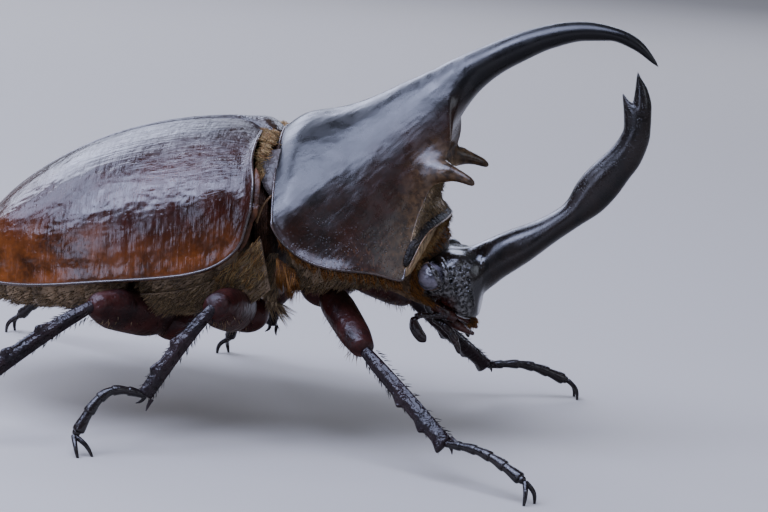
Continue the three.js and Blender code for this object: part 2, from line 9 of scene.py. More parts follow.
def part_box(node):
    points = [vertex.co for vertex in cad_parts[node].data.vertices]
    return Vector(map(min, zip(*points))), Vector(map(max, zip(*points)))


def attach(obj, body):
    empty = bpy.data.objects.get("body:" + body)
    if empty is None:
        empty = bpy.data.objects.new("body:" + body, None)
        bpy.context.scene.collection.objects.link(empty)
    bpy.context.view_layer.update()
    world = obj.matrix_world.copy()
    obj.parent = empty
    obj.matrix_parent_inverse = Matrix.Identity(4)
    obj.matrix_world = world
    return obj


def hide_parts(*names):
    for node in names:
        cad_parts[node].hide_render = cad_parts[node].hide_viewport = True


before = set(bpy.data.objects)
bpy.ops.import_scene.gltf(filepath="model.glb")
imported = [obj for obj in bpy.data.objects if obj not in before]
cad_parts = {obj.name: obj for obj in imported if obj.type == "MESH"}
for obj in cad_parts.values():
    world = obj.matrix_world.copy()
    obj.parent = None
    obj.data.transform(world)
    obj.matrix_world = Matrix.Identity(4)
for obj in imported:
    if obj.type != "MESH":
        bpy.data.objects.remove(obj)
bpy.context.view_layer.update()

# ---- stance ---------------------------------------------------------------------------------------------
# The whole beetle is built in millimetres in its body's own frame: x to the front, y to its left, z up,
# from the middle of the pronotum's hind edge at the height of the wing cases' rim. The body stands pitched
# nose up, and the two eyes of the frame say where that puts it.
MM = 0.001
PITCH = math.radians(4.5)
EYE = np.array([17.9, 7.3, -0.4])
SIDES = ((1, "left"), (-1, "right"))
eye_corners = [corner for _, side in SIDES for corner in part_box(f"eye_{side}")]
lean = Matrix.Rotation(-PITCH, 4, "Y")
BODY_ORIGIN = sum(eye_corners, Vector()) / len(eye_corners) - lean @ Vector((EYE[0], 0, EYE[2])) * MM
TO_FRAME = Matrix.Translation(BODY_ORIGIN) @ lean @ Matrix.Scale(MM, 4)

# ---- belly: metathorax, abdomen and pygidium -------------------------------------------------------------
# Below the wing cases lie the hard plates of the underside: the broad metathorax that carries the middle
# and hind legs, the abdomen's overlapping rings, and the pygidium that closes the hind end. They are brown
# punctured chitin with a short coat, and each slides a little under the next.
def spline(knots, values):
    """A curve through the values at the knots whose bend never jumps (a natural cubic spline)."""
    at, value = np.array(knots, float), np.array(values, float)
    gap = np.diff(at)
    rows, wanted = np.eye(len(at)), np.zeros_like(value)
    for i in range(1, len(at) - 1):
        rows[i, i - 1:i + 2] = gap[i - 1], 2 * (gap[i - 1] + gap[i]), gap[i]
        wanted[i] = 6 * ((value[i + 1] - value[i]) / gap[i] - (value[i] - value[i - 1]) / gap[i - 1])
    bend = np.linalg.solve(rows, wanted)

    def read(t):
        t = np.asarray(t, float)
        i = np.clip(np.searchsorted(at, t) - 1, 0, len(gap) - 1)
        span = gap[i]
        ahead = (t - at[i]) / span
        if value.ndim > 1:
            span, ahead = span[..., None], ahead[..., None]
        behind = 1 - ahead
        curve = (behind ** 3 - behind) * bend[i] + (ahead ** 3 - ahead) * bend[i + 1]
        return behind * value[i] + ahead * value[i + 1] + curve * span ** 2 / 6
    return read


def through(knots, values):
    """A curve through the values at the knots that never overshoots them (a monotone cubic)."""
    at, value = np.array(knots, float), np.array(values, float)
    gap = np.diff(at)
    rise = np.diff(value, axis=0) / (gap if value.ndim == 1 else gap[:, None])
    same = rise[1:] * rise[:-1] > 0
    inner = np.where(same, 2 * rise[1:] * rise[:-1] / np.where(same, rise[1:] + rise[:-1], 1), 0)
    slope = np.concatenate([rise[:1], inner, rise[-1:]])

    def read(t):
        t = np.asarray(t, float)
        i = np.clip(np.searchsorted(at, t) - 1, 0, len(gap) - 1)
        span = gap[i]
        s = np.clip((t - at[i]) / span, 0, 1)
        if value.ndim > 1:
            span, s = span[..., None], s[..., None]
        rest = (1 + 2 * s) * (1 - s) ** 2 * value[i] + s * s * (3 - 2 * s) * value[i + 1]
        return rest + span * s * (1 - s) * ((1 - s) * slope[i] - s * slope[i + 1])
    return read


def skin(place, around, along):
    """A sheet bent to shape: the grid's corner (u, v) goes to place(u, v), and edges that meet are welded."""
    mesh = bmesh.new()
    mesh.loops.layers.uv.new("skin")
    bmesh.ops.create_grid(mesh, x_segments=around, y_segments=along, size=0.5, calc_uvs=True)
    flat = np.array([corner.co[:2] for corner in mesh.verts])
    flat = (flat - flat.min(0)) / np.ptp(flat, axis=0)
    for corner, spot in zip(mesh.verts, place(flat[:, 0], flat[:, 1])):
        corner.co = spot
    bmesh.ops.remove_doubles(mesh, verts=mesh.verts, dist=0.001)
    bmesh.ops.recalc_face_normals(mesh, faces=mesh.faces)
    middle = sum((corner.co for corner in mesh.verts), Vector()) / len(mesh.verts)
    if sum(face.normal.dot(face.calc_center_median() - middle) for face in mesh.faces) < 0:
        bmesh.ops.reverse_faces(mesh, faces=mesh.faces)
    return mesh


def joined(*parts):
    """Several meshes as one."""
    whole = parts[0]
    for part in parts[1:]:
        carrier = bpy.data.meshes.new("carrier")
        part.to_mesh(carrier)
        part.free()
        whole.from_mesh(carrier)
        bpy.data.meshes.remove(carrier)
    return whole


def detail(mesh, name, material, slot):
    """Puts a finished mesh into the frame as a piece that has no CAD node of its own."""
    mesh.transform(TO_FRAME)
    for face in mesh.faces:
        face.smooth = True
    data = bpy.data.meshes.new(name)
    mesh.to_mesh(data)
    mesh.free()
    data.materials.append(material)
    piece = bpy.data.objects.new(name, data)
    bpy.context.scene.collection.objects.link(piece)
    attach(piece, "root")
    return piece


def settle(mesh, name, material, slot):
    """Puts a finished mesh into the frame as the piece that stands for the CAD node of its name."""
    piece = detail(mesh, name, material, slot)
    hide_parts(name)
    return piece


class Field:
    """A shader's value that adds and multiplies like a number; what is made from it joins the same tree."""

    def __init__(self, socket):
        self.socket, self.tree = socket, socket.id_data

    def __add__(self, other):
        return calc("ADD", self, other)

    def __sub__(self, other):
        return calc("SUBTRACT", self, other)

    def __mul__(self, other):
        return calc("MULTIPLY", self, other)

    def __abs__(self):
        return calc("ABSOLUTE", self)


def add_node(tree, kind, inputs, **settings):
    """A new node with its settings and inputs; returns its outputs. A colour's alpha is always 1."""
    made = tree.nodes.new("ShaderNode" + kind)
    for name, value in settings.items():
        setattr(made, name, value)
    for name, value in inputs.items():
        socket = made.inputs[name]
        if isinstance(value, Field):
            tree.links.new(value.socket, socket)
        else:
            socket.default_value = (*value, 1.0) if socket.type == "RGBA" else value
    return [Field(socket) for socket in made.outputs]


def calc(operation, first, second=0.0):
    return add_node(first.tree, "Math", {0: first, 1: second}, operation=operation)[0]


def noise(place, scale, detail=3.0, distortion=0.0):
    return add_node(place.tree, "TexNoise", {"Vector": place, "Scale": scale, "Detail": detail,
                                             "Distortion": distortion})[0]


def ramp(value, low, high, to_low=0.0, to_high=1.0):
    """A value's smooth step from to_low at low to to_high at high."""
    return add_node(value.tree, "MapRange", {"Value": value, "From Min": low, "From Max": high,
                                             "To Min": to_low, "To Max": to_high},
                    interpolation_type="SMOOTHSTEP")[0]


def blend(mask, low, high):
    """Colour low where the mask is 0 and high where it is 1."""
    return add_node(mask.tree, "Mix", {0: mask, 6: low, 7: high}, data_type="RGBA")[2]


def stretched(place, scale, turn=(0.0, 0.0, 0.0)):
    """A pattern's place drawn out or squeezed along its axes."""
    return add_node(place.tree, "Mapping", {"Vector": place, "Scale": scale, "Rotation": turn})[0]


def parts_of(place):
    """The x, y and z of a place."""
    return add_node(place.tree, "SeparateXYZ", {"Vector": place})


def unrolled(place):
    """The place on the skin laid flat: round it and along it, each from 0 to 1."""
    return add_node(place.tree, "UVMap", {}, uv_map="skin")[0]


def finish(name, colour, height, roughness, polish):
    """A material: colour, roughness and height (the relief, in millimetres) are functions of the place in the
    body's own frame, in millimetres. Faces turned to the ground have less polish."""
    material = bpy.data.materials.new(name)
    material.use_nodes = True
    tree = material.node_tree
    shader = tree.nodes["Principled BSDF"]
    origin = lean.inverted() @ BODY_ORIGIN / -MM
    here = Field(tree.nodes.new("ShaderNodeTexCoord").outputs["Object"])
    place = add_node(tree, "Mapping", {"Vector": here, "Location": origin, "Rotation": (0, PITCH, 0),
                                       "Scale": (1 / MM,) * 3})[0]
    normal = Field(tree.nodes.new("ShaderNodeNewGeometry").outputs["Normal"])
    bump = add_node(tree, "Bump", {"Height": height(place), "Distance": MM, "Strength": 1.0})[0]
    for socket, value in (("Specular IOR Level", ramp(parts_of(normal)[2], -0.45, 0.3, polish * 0.3, polish)),
                          ("Base Color", colour(place)), ("Roughness", roughness(place)), ("Normal", bump)):
        tree.links.new(value.socket, shader.inputs[socket])
    return material


def new_group(name, inputs, outputs):
    """A shader node group with named sockets: returns its tree, its inputs and a way to set its outputs. A
    list gives a vector, a tuple a colour."""
    tree = bpy.data.node_groups.new(name, "ShaderNodeTree")
    for label, value in inputs.items():
        kind = {float: "Float", tuple: "Color", list: "Vector"}[type(value)]
        socket = tree.interface.new_socket(label, in_out="INPUT", socket_type="NodeSocket" + kind)
        socket.default_value = (*value, 1.0) if kind == "Color" else value
    for label, kind in outputs.items():
        tree.interface.new_socket(label, in_out="OUTPUT", socket_type="NodeSocket" + kind)
    given = {label: Field(tree.nodes.new("NodeGroupInput").outputs[label]) for label in inputs}
    gives = tree.nodes.new("NodeGroupOutput").inputs
    return tree, given, lambda label, value: tree.links.new(value.socket, gives[label])


# Punctures: round pits of uneven size, such as cover most of a beetle's plates.
PUNCTURES, given, give = new_group(
    "punctures", {"Place": [0.0, 0.0, 0.0], "Per mm": 2.0, "Size": 0.3, "Depth": 0.03},
    {"Height": "Float"})
pit_distance = add_node(PUNCTURES, "TexVoronoi", {"Vector": given["Place"], "Scale": given["Per mm"],
                                                  "Randomness": 0.9})[0]
pit_size = given["Size"] * ramp(noise(given["Place"], 0.9, 2.0), 0.3, 0.7, 0.45, 1.25)
pits = ramp(pit_distance, pit_size * 0.45, pit_size, 1.0, 0.0)
give("Height", pits * (given["Depth"] * -1.0))

# Wrinkles: soft folds with sharper valleys, from a noise folded about its middle.
WRINKLES, given, give = new_group(
    "wrinkles", {"Place": [0.0, 0.0, 0.0], "Per mm": 1.0, "Depth": 0.05, "Detail": 3.0},
    {"Height": "Float"})
valleys = ramp(abs(noise(given["Place"], given["Per mm"], given["Detail"], 0.3) - 0.5), 0.0, 0.16, 1.0, 0.0)
give("Height", valleys * (given["Depth"] * -1.0))

# Mottle: the uneven tone of grown shell, cloudy on the large scale and flecked on the small.
MOTTLE, given, give = new_group(
    "mottle", {"Place": [0.0, 0.0, 0.0], "Per mm": 0.3, "Dark": (0.0, 0.0, 0.0), "Light": (0.2, 0.2, 0.2)},
    {"Color": "Color"})
clouds = noise(given["Place"], given["Per mm"], 5.0, 0.4)
flecks = noise(given["Place"], given["Per mm"] * 9.0, 2.0)
tone = ramp(clouds, 0.3, 0.72, 0.0, 0.8) + ramp(flecks, 0.4, 0.75, 0.0, 0.3)
give("Color", blend(tone, given["Dark"], given["Light"]))


def mottle(place, scale, dark, light):
    return add_node(place.tree, "Group", {"Place": place, "Per mm": scale, "Dark": dark, "Light": light},
                    node_tree=MOTTLE)[0]


def punctures(place, scale, size, depth):
    return add_node(place.tree, "Group", {"Place": place, "Per mm": scale, "Size": size, "Depth": depth},
                    node_tree=PUNCTURES)[0]


def wrinkles(place, scale, depth, detail=3.0):
    return add_node(place.tree, "Group", {"Place": place, "Per mm": scale, "Depth": depth, "Detail": detail},
                    node_tree=WRINKLES)[0]


def even(low, high, scale=0.8):
    """A roughness that wanders between two values."""
    return lambda place: ramp(noise(place, scale, 4.0), 0.3, 0.7, low, high)


def chitin(name, dark, light, pit, wrinkle, roughness, polish):
    """Plain shell: pit is (per mm, size, depth) and wrinkle is (per mm, depth)."""
    return finish(name, lambda place: mottle(place, 0.3, dark, light),
                  lambda place: punctures(place, *pit) + wrinkles(place, *wrinkle), even(*roughness), polish)


ELYTRA_FRONT, ELYTRA_APEX, ELYTRA_WIDEST = -1.2, -38.0, -17.0
ELYTRA_HALF_WIDTH, SHOULDER_TAPER = 17.0, 1.4
rim_height = through((-38, -30, -18, -9.3, -6.2, -4.2, -2.4, -1.2), (-1, -1, -0.1, 0.7, 1.4, 2.4, 4.2, 8))


def half_width(x):
    behind = np.clip((ELYTRA_WIDEST - x) / (ELYTRA_WIDEST - ELYTRA_APEX), 0, 1)
    ahead = np.clip((x - ELYTRA_WIDEST) / (ELYTRA_FRONT - ELYTRA_WIDEST), 0, None)
    return ELYTRA_HALF_WIDTH * np.sqrt(1 - behind ** 2.6) - SHOULDER_TAPER * ahead ** 2


BELLY_INSET = 1.5
roof_above_rim = through((-38, -37, -36, -34, -31), (0.3, 0.9, 2.2, 3.8, 5.0))  # hidden under the wing cases
belly_depth = through((-38, -35.5, -30, -22, -15, -8, -2), (-2.2, -3.9, -5.2, -5.6, -5.3, -5.9, -5.0))


def belly(front, hind, joints, step):
    """A length of the belly; at each joint the plate in front overlaps the next by a small step."""
    def place(u, v):
        x = front + (hind - front) * (1 - np.cos(np.pi * v)) / 2
        ends = np.clip(np.minimum(front - x, x - hind) / 0.7, 0, 1)
        draw = np.sqrt(1 - (1 - ends) ** 2)
        turn = 2 * np.pi * u
        rim = np.minimum(rim_height(x), 2.0)
        wide = (half_width(np.maximum(x, ELYTRA_APEX + 0.2)) - BELLY_INSET) * (0.86 + 0.14 * draw)
        low = (rim - belly_depth(x)) * np.abs(np.sin(turn)) ** 0.75
        high = roof_above_rim(x) * np.abs(np.sin(turn))
        groove = np.zeros_like(x)
        for joint in joints:
            behind = joint - x
            groove += step * np.where(behind > 0, np.exp(-behind / 1.5), np.exp(-(behind / 0.12) ** 2))
        z = rim + np.where(np.sin(turn) < 0, -low * draw, high * draw)
        y = wide * np.sign(np.cos(turn)) * np.abs(np.cos(turn)) ** 0.8 * draw
        inward = 1 - groove / 9
        return np.stack([x, y * inward, rim + (z - rim) * inward], 1)
    return place


under_shell = chitin("under_shell", (0.10, 0.070, 0.046), (0.38, 0.27, 0.17), (2.6, 0.4, 0.05), (0.7, 0.04),
                     (0.36, 0.52), 0.3)
chest = belly(-2.2, -14.6, (-5.4, -12.6), 0.5)
abdomen = belly(-14.9, -34.6, (-17.4, -20.5, -23.6, -26.8, -30.2), 0.75)
settle(skin(chest, 160, 150), "metathorax", under_shell, "under_shell")
settle(skin(abdomen, 160, 150), "abdomen", under_shell, "under_shell")
settle(skin(belly(-34.9, -37.7, (), 0), 120, 60), "pygidium", under_shell, "under_shell")


def hair_finish(name, dark, light):
    """Each hair has its own tone."""
    def colour(place):
        spot = add_node(place.tree, "UVMap", {}, uv_map="OFBake")[0]
        return blend(ramp(noise(spot, 130.0, 1.0), 0.35, 0.65), dark, light)
    return finish(name, colour, lambda place: noise(place, 8.0), even(0.35, 0.5), 0.5)


golden_hair = hair_finish("golden_hair", (0.42, 0.17, 0.04), (0.95, 0.66, 0.29))
orange_hair = hair_finish("orange_hair", (0.13, 0.040, 0.008), (0.66, 0.28, 0.06))
brown_hair = hair_finish("brown_hair", (0.13, 0.084, 0.046), (0.74, 0.52, 0.28))
bristle = hair_finish("bristle", (0.006, 0.004, 0.004), (0.03, 0.014, 0.010))
TUFT_PATCH = 0.003  # each tuft's share of the OFBake map, from which its tone is drawn
TUFT_CONE = ((2, 1, 0), (0, 1, 4, 3), (1, 2, 5, 4), (2, 0, 3, 5), (3, 4, 6), (4, 5, 6), (5, 3, 6))
TUFT_MAP = np.array([(0, 0), (0.5, 0), (1, 0), (0, 0.5), (0.5, 0.5), (1, 0.5), (0.5, 1)]) * TUFT_PATCH


def coat(name, roots, lie, length, unwrap, material, thickness=0.045, droop=0.2, stray=0.18, seed=1, locks=0):
    """Tufts of solid hair as one piece: each is a three-sided bent cone that leaves its root along the lie,
    and neighbours may run together in locks. unwrap is each root's place on the skin laid flat."""
    rng = np.random.default_rng(seed)
    roots, count = np.array(roots, float), len(roots)
    lie = np.broadcast_to(lie, (count, 3)) + rng.normal(0, stray, (count, 3))
    lie /= np.linalg.norm(lie, axis=1)[:, None]
    long = (rng.uniform(*length, count))[:, None]
    side = np.cross(lie, rng.normal(0, 1, (count, 3)))
    side /= np.linalg.norm(side, axis=1)[:, None]
    other = np.cross(lie, side)
    bend = np.array([0, 0, -1]) * droop + rng.normal(0, 0.07, (count, 3))
    tips = roots + (lie + bend) * long
    gather = np.zeros_like(roots)
    if locks:
        leader = rng.choice(count, locks, replace=False)
        nearest = leader[np.argmin(np.linalg.norm(roots[:, None] - roots[leader][None], axis=2), axis=1)]
        gather = (tips[nearest] - tips) * rng.uniform(0.55, 0.95, (count, 1))
    levels = []
    for along, stout in ((-0.06, 1.0), (0.5, 0.8)):
        centre = roots + lie * long * along + (bend * long + gather) * max(along, 0) ** 2
        for turn in np.radians((0, 120, 240)):
            levels.append(centre + (side * np.cos(turn) + other * np.sin(turn)) * thickness * stout)
    levels.append(tips + gather)
    corners = np.stack(levels, 1).reshape(-1, 3)
    faces = [tuple(hair * 7 + corner for corner in face) for hair in range(count) for face in TUFT_CONE]
    data = bpy.data.meshes.new("cones")
    data.from_pydata(corners.tolist(), [], faces)
    order = np.array([index for face in TUFT_CONE for index in face])
    spots = np.clip(unwrap, 0, 1 - TUFT_PATCH)[:, None, :] + TUFT_MAP[order][None, :, :]
    data.uv_layers.new(name="OFBake").data.foreach_set("uv", spots.reshape(-1))
    mesh = bmesh.new()
    mesh.from_mesh(data)
    bpy.data.meshes.remove(data)
    return detail(mesh, name, material, "hair")


def grown(name, place, count, u_range, v_range, root_seed, lie, length, *form):
    """A brown coat with its roots scattered on a skin; they keep their place on the unwrapped skin."""
    rng = np.random.default_rng(root_seed)
    unwrap = np.stack([rng.uniform(*u_range, count), rng.uniform(*v_range, count)], 1)
    coat(name, place(unwrap[:, 0], unwrap[:, 1]), lie, length, unwrap, brown_hair, *form)


for (side, name), share in zip(SIDES, ((0.86, 0.995), (0.505, 0.64))):
    grown(f"chest_coat_{name}", chest, 1500, share, (0.05, 0.95), 11, (-0.8, 0.45 * side, -0.35), (0.6, 1.1),
          0.035, 0.15, 0.2, 12)
    grown(f"abdomen_coat_{name}", abdomen, 1500, share, (0.03, 0.9), 13, (-0.85, 0.3 * side, -0.3),
          (0.5, 0.9), 0.035, 0.1, 0.2, 14)

# ---- waist: mesothorax -----------------------------------------------------------------------------------
# Between pronotum and wing cases the narrow mesothorax shows in a gap: a brown ring with a grey-brown
# plate on each side that points down, and a pale strut below it. Golden hair stands in the gap.
WAIST = {"front": 0.4, "hind": -1.9, "half_width": 11.6, "top": 14.4, "bottom": -4.2}


def waist(u, v):
    turn = 2 * np.pi * u
    draw = np.sqrt(np.clip(1 - (2 * v - 1) ** 6, 0, 1))
    middle = (WAIST["top"] + WAIST["bottom"]) / 2
    high = (WAIST["top"] - WAIST["bottom"]) / 2
    ripple = 1 - 0.03 * np.sin(9 * np.pi * v) ** 2
    return np.stack([WAIST["front"] + (WAIST["hind"] - WAIST["front"]) * v,
                     WAIST["half_width"] * np.cos(turn) * draw * ripple,
                     middle + high * np.sin(turn) * draw * ripple], 1)


waist_skin = chitin("waist_skin", (0.022, 0.011, 0.007), (0.11, 0.052, 0.028), (3.0, 0.35, 0.03), (1.1, 0.12),
                    (0.45, 0.6), 0.25)
settle(skin(waist, 120, 40), "mesothorax", waist_skin, "under_shell")

PLATE_REAR = ((-1.85, 6.8, 13.6), (-1.6, 8.4, 12.5), (-1.1, 9.9, 11.1), (-0.45, 10.9, 9.9), (0.45, 11.4, 8.9))
PLATE_FRONT = ((0.85, 7.0, 13.8), (0.85, 8.8, 12.6), (0.85, 10.1, 11.2), (0.85, 10.9, 10.2), (0.9, 11.4, 9.0))
STRUT = ((1.05, 12.1, 9.6), (0.25, 12.4, 8.8), (-0.45, 12.7, 7.7), (-1.0, 12.9, 6.2))
SIDE_PLATE_TOP = ((-0.2, 14.3, 4.6), (-2.3, 14.7, 2.5), (-4.2, 14.9, 0.9), (-6.5, 15.1, -0.4),
                  (-10.5, 15.4, -1.4), (-14.6, 15.4, -1.9))
SIDE_PLATE_LOW = ((0.6, 12.8, -1.4), (-3.2, 12.9, -3.6), (-6.5, 13.3, -3.9), (-10.5, 13.6, -4.1),
                  (-14.2, 13.4, -4.2))
plate_shell = chitin("plate_shell", (0.035, 0.028, 0.026), (0.130, 0.105, 0.095), (3.0, 0.3, 0.02),
                     (0.9, 0.08), (0.35, 0.5), 0.6)
strut_shell = chitin("strut_shell", (0.10, 0.055, 0.025), (0.30, 0.17, 0.08), (3.0, 0.3, 0.02), (1.2, 0.03),
                     (0.25, 0.4), 0.7)


def mirrored(points, side):
    """Points given for the left, on their own side."""
    return np.array(points, float) * (1, side, 1)


def path(points):
    """A smooth way through points, from 0 at the first to 1 at the last."""
    spots = np.array(points, float)
    steps = np.linalg.norm(np.diff(spots, axis=0), axis=1)
    return spline(np.concatenate([[0], np.cumsum(steps)]) / steps.sum(), spots)


def between(first, second, crown, side, around=24, along=60):
    """A plate between two edges, bowed outwards by crown at its middle."""
    one, other = path(mirrored(first, side)), path(mirrored(second, side))

    def place(u, v):
        across = u[:, None]
        bow = crown * np.sin(np.pi * u) * np.sin(np.pi * v) ** 0.5
        return one(v) * (1 - across) + other(v) * across + bow[:, None] * np.array([0, side, 0.2])
    return skin(place, around, along)


def limb(points, side, depth, across, around=32, along=80, relief=None, ends=(0.03, 0.03)):
    """A closed limb along points with rounded ends. side and depth are half sizes, each one number or (share
    of the way, size) pairs, and side lies along across. relief(u, v) swells it, in millimetres."""
    way, across = path(points), np.array(across, float)
    side, depth = [through(*zip(*(size if isinstance(size, tuple) else ((0, size), (1, size)))))
                   for size in (side, depth)]

    def place(u, v):
        v = (1 - np.cos(np.pi * v)) / 2
        ahead = way(np.minimum(v + 0.004, 1)) - way(np.maximum(v - 0.004, 0))
        ahead /= np.linalg.norm(ahead, axis=1)[:, None]
        beside = across - (ahead @ across)[:, None] * ahead
        beside /= np.linalg.norm(beside, axis=1)[:, None]
        above = np.cross(ahead, beside)
        draw = (np.sqrt(1 - np.clip(1 - v / ends[0], 0, 1) ** 2)
                * np.sqrt(1 - np.clip(1 - (1 - v) / ends[1], 0, 1) ** 2))
        swell = relief(u, v) if relief else 0
        turn = 2 * np.pi * u
        wide = (side(v) + swell) * draw * np.cos(turn)
        high = (depth(v) + swell) * draw * np.sin(turn)
        return way(v) + wide[:, None] * beside + high[:, None] * above
    return skin(place, around, along)


def tube(points, radius, along, around=10):
    """A thin round cord along points, for beads and rims."""
    return limb(points, radius, radius, (0.3, 0.5, 0.8), around, along)


def walled(piece, thickness):
    """Gives an open sheet its wall, on the inner side."""
    wall = piece.modifiers.new("wall", "SOLIDIFY")
    wall.thickness = thickness * MM
    wall.offset = -1


for side, name in SIDES:
    walled(detail(between(PLATE_REAR, PLATE_FRONT, 0.35, side), f"waist_plate_{name}", plate_shell,
                  "under_shell"), 0.3)
    detail(limb(mirrored(STRUT, side), ((0, 0.18), (0.4, 0.22), (1, 0.3)), ((0, 0.12), (1, 0.16)),
                (0.6, side, 0.4), 16, 60), f"wing_strut_{name}", strut_shell, "under_shell")
    walled(detail(between(SIDE_PLATE_TOP, SIDE_PLATE_LOW, 0.5, side, 40, 100), f"side_plate_{name}",
                  under_shell, "under_shell"), 0.3)

# The waist's hair stands from its rim over the wing cases' front edge and on the plates' edges, and hangs as
# a long orange tuft below the pronotum's hind corner. Dark spiky locks stand out above the coxa.
WHOLE, BOTH_WAYS = ("uniform", 0, 1), ("uniform", -1, 1)


def plain(a, b):
    return a, b


def halved(a, b):
    return a, b / 2 + 0.5


def quartered(a, b):
    return a, b / 4 + 0.5


def strands(rng, side, name, count, first, second, roots, lie, length, unwrap, hair, *form):
    """A coat given for the left: each strand draws two numbers, from which roots and unwrap place it."""
    a, b = [getattr(rng, kind)(*numbers, count) for kind, *numbers in (first, second)]
    spots = roots(a, b)
    if isinstance(spots, tuple):
        spots = np.stack([part + 0 * a for part in spots], 1)
    coat(f"{name}_{dict(SIDES)[side]}", spots * (1, side, 1), np.array(lie) * (1, side, 1), length,
         np.stack(unwrap(a, b), 1), hair, *form)


def steps_from(way, a, *shift):
    """The way's spots at a, each shifted."""
    return way(a) + np.stack([part + 0 * a for part in shift], 1)


def side_plate(a, b, out):
    """Spots on the side plate, a along it and b down it, each moved outwards."""
    flat = path(SIDE_PLATE_TOP)(a) * (1 - b[:, None]) + path(SIDE_PLATE_LOW)(a) * b[:, None]
    return flat + np.stack([0 * b, out, 0 * b], 1)


WAIST_HAIR = path(((-0.3, 0.3, 15.1), (-0.3, 4.0, 14.9), (-0.2, 7.0, 14.4), (-0.1, 9.4, 13.5),
                   (0.1, 10.6, 12.7)))
WAIST_COATS = (
    ("waist_hair", 800, ("triangular", 0, 0.3, 1), ("normal", 0, 0.45),
     lambda a, b: steps_from(WAIST_HAIR, a, b * 0.8 - 0.2, 0, -0.2 * b ** 2),
     (-0.85, 0.15, 0.5), (0.8, 1.8), quartered, golden_hair, 0.05, 0.25, 0.3, 22, 60),
    ("plate_hair", 420, ("uniform", 0, 0.6), WHOLE,
     lambda a, b: steps_from(path(PLATE_REAR), a, b * 1.6 * (1 - a), 0.2, 0.3 * b),
     (-0.5, 0.35, -0.6), (0.6, 1.3), plain, golden_hair, 0.045, 0.1, 0.25, 23, 40),
    ("corner_tuft", 300, WHOLE, ("normal", 0, 0.4),
     lambda a, b: (1.4 + 2.2 * a, 13.6 + 0.7 * b, 2.3 - 1.5 * a - 0.5 * b ** 2),
     (0.05, 0.1, -1.0), (1.8, 3.9), quartered, orange_hair, 0.06, 0.1, 0.2, 24, 16),
    ("coxa_tuft", 90, WHOLE, ("normal", 0, 0.3),
     lambda a, b: (-0.6 + 1.6 * a, 11.6 + 0.8 * b, -2.0 - 0.9 * a),
     (0.6, 0.15, -0.75), (2.0, 3.4), quartered, brown_hair, 0.06, 0.1, 0.22, 25, 9),
    ("side_plate_coat", 1800, WHOLE, WHOLE,
     lambda a, b: side_plate(a, b, 0.5 * np.sin(np.pi * b) * np.sin(np.pi * a) ** 0.5),
     (-0.75, 0.2, -0.55), (0.6, 1.2), plain, brown_hair, 0.04, 0.05, 0.2, 26),
    ("waist_front_coat", 1400, WHOLE, BOTH_WAYS, lambda a, b: (0.7 + 0.5 * b, 11.2 + 1.3 * a, 2.5 - 5.0 * a),
     (-0.15, 0.35, -0.9), (0.8, 1.8), lambda a, b: (b / 2 + 0.5, a), brown_hair, 0.045, 0.05, 0.25, 28, 110),
    ("side_plate_hair", 420, ("uniform", 0, 0.42), ("uniform", -0.1, 0.7),
     lambda a, b: side_plate(a, b, 0.3 + 0 * b),
     (-0.5, 0.3, -0.7), (0.7, 1.4), plain, golden_hair, 0.04, 0.05, 0.25, 27, 50),
)
for side, name in SIDES:
    rng = np.random.default_rng(21)
    for row in WAIST_COATS:
        strands(rng, side, *row)

# ---- wing cases ------------------------------------------------------------------------------------------
# Two hard chestnut covers that meet along the back and fold under along their side, where a thin pale bead
# runs round the margin. They are glossy, with fine wrinkles across, coarser folds that run together towards
# the scutellum, and a swollen shoulder.
CROWN_X, CROWN_HEIGHT = -6.0, 16.5
SUTURE_GAP = 0.05
RIM_TURN = 0.86  # share of the section that is dome; the rest is bead and underfold
UNDERFOLD = 2.0
front_line = through((0, 45, 72, 90), (-0.9, -0.5, 0.2, 0.1))  # the front margin against its mean, by angle


def dome(angle, x):
    """The wing cases' outer face: angle 0 is the middle of the back and 90 degrees the rim."""
    turn, rim = np.radians(angle), rim_height(x)
    back = np.clip((CROWN_X - x) / (CROWN_X - ELYTRA_APEX), 0, 1)
    crown = -1 + (CROWN_HEIGHT + 1) * (1 - back ** 2) ** 0.67 - 0.045 * np.clip(x - CROWN_X, 0, None) ** 2
    flare = 0.35 * np.exp(-((90 - angle) / 4.0) ** 2)
    y = half_width(x) * np.clip(np.sin(turn), 0, 1) ** 0.93 + flare
    return y, rim + (crown - rim) * np.clip(np.cos(turn), 0, 1) ** 0.93


def wing_case(side):
    def place(u, v):
        along = (1 - np.cos(np.pi * v)) / 2
        x = ELYTRA_FRONT + (ELYTRA_APEX + 0.02 - ELYTRA_FRONT) * along
        angle = 90 * np.clip(u / RIM_TURN, 0, 1)
        y, z = dome(angle, x)
        x = x + front_line(angle) * np.exp(-(ELYTRA_FRONT - x) / 2.5)
        under = np.clip((u - RIM_TURN) / (1 - RIM_TURN), 0, 1)
        narrow = np.clip(half_width(x) / 6, 0, 1)
        y = y - narrow * UNDERFOLD * under
        z = z - narrow * 0.5 * np.sin(np.pi * under) + narrow * 0.3 * under
        shoulder = np.exp(-((x + 5.2) / 2.4) ** 2 - ((angle - 57) / 12) ** 2)
        hind_bump = np.exp(-((x + 30.5) / 2.6) ** 2 - ((angle - 48) / 13) ** 2)
        seam = 0.25 * np.exp(-((y - 0.9) / 0.22) ** 2) - 0.12 * np.exp(-((y - 0.35) / 0.3) ** 2)
        out = np.stack([0 * x, y, z - 2], 1)
        out /= np.linalg.norm(out, axis=1)[:, None]
        swell = 0.55 * shoulder + 0.5 * hind_bump - seam * (under <= 0)
        return (np.stack([x, y + SUTURE_GAP, z], 1) + out * swell[:, None]) * (1, side, 1)
    return place


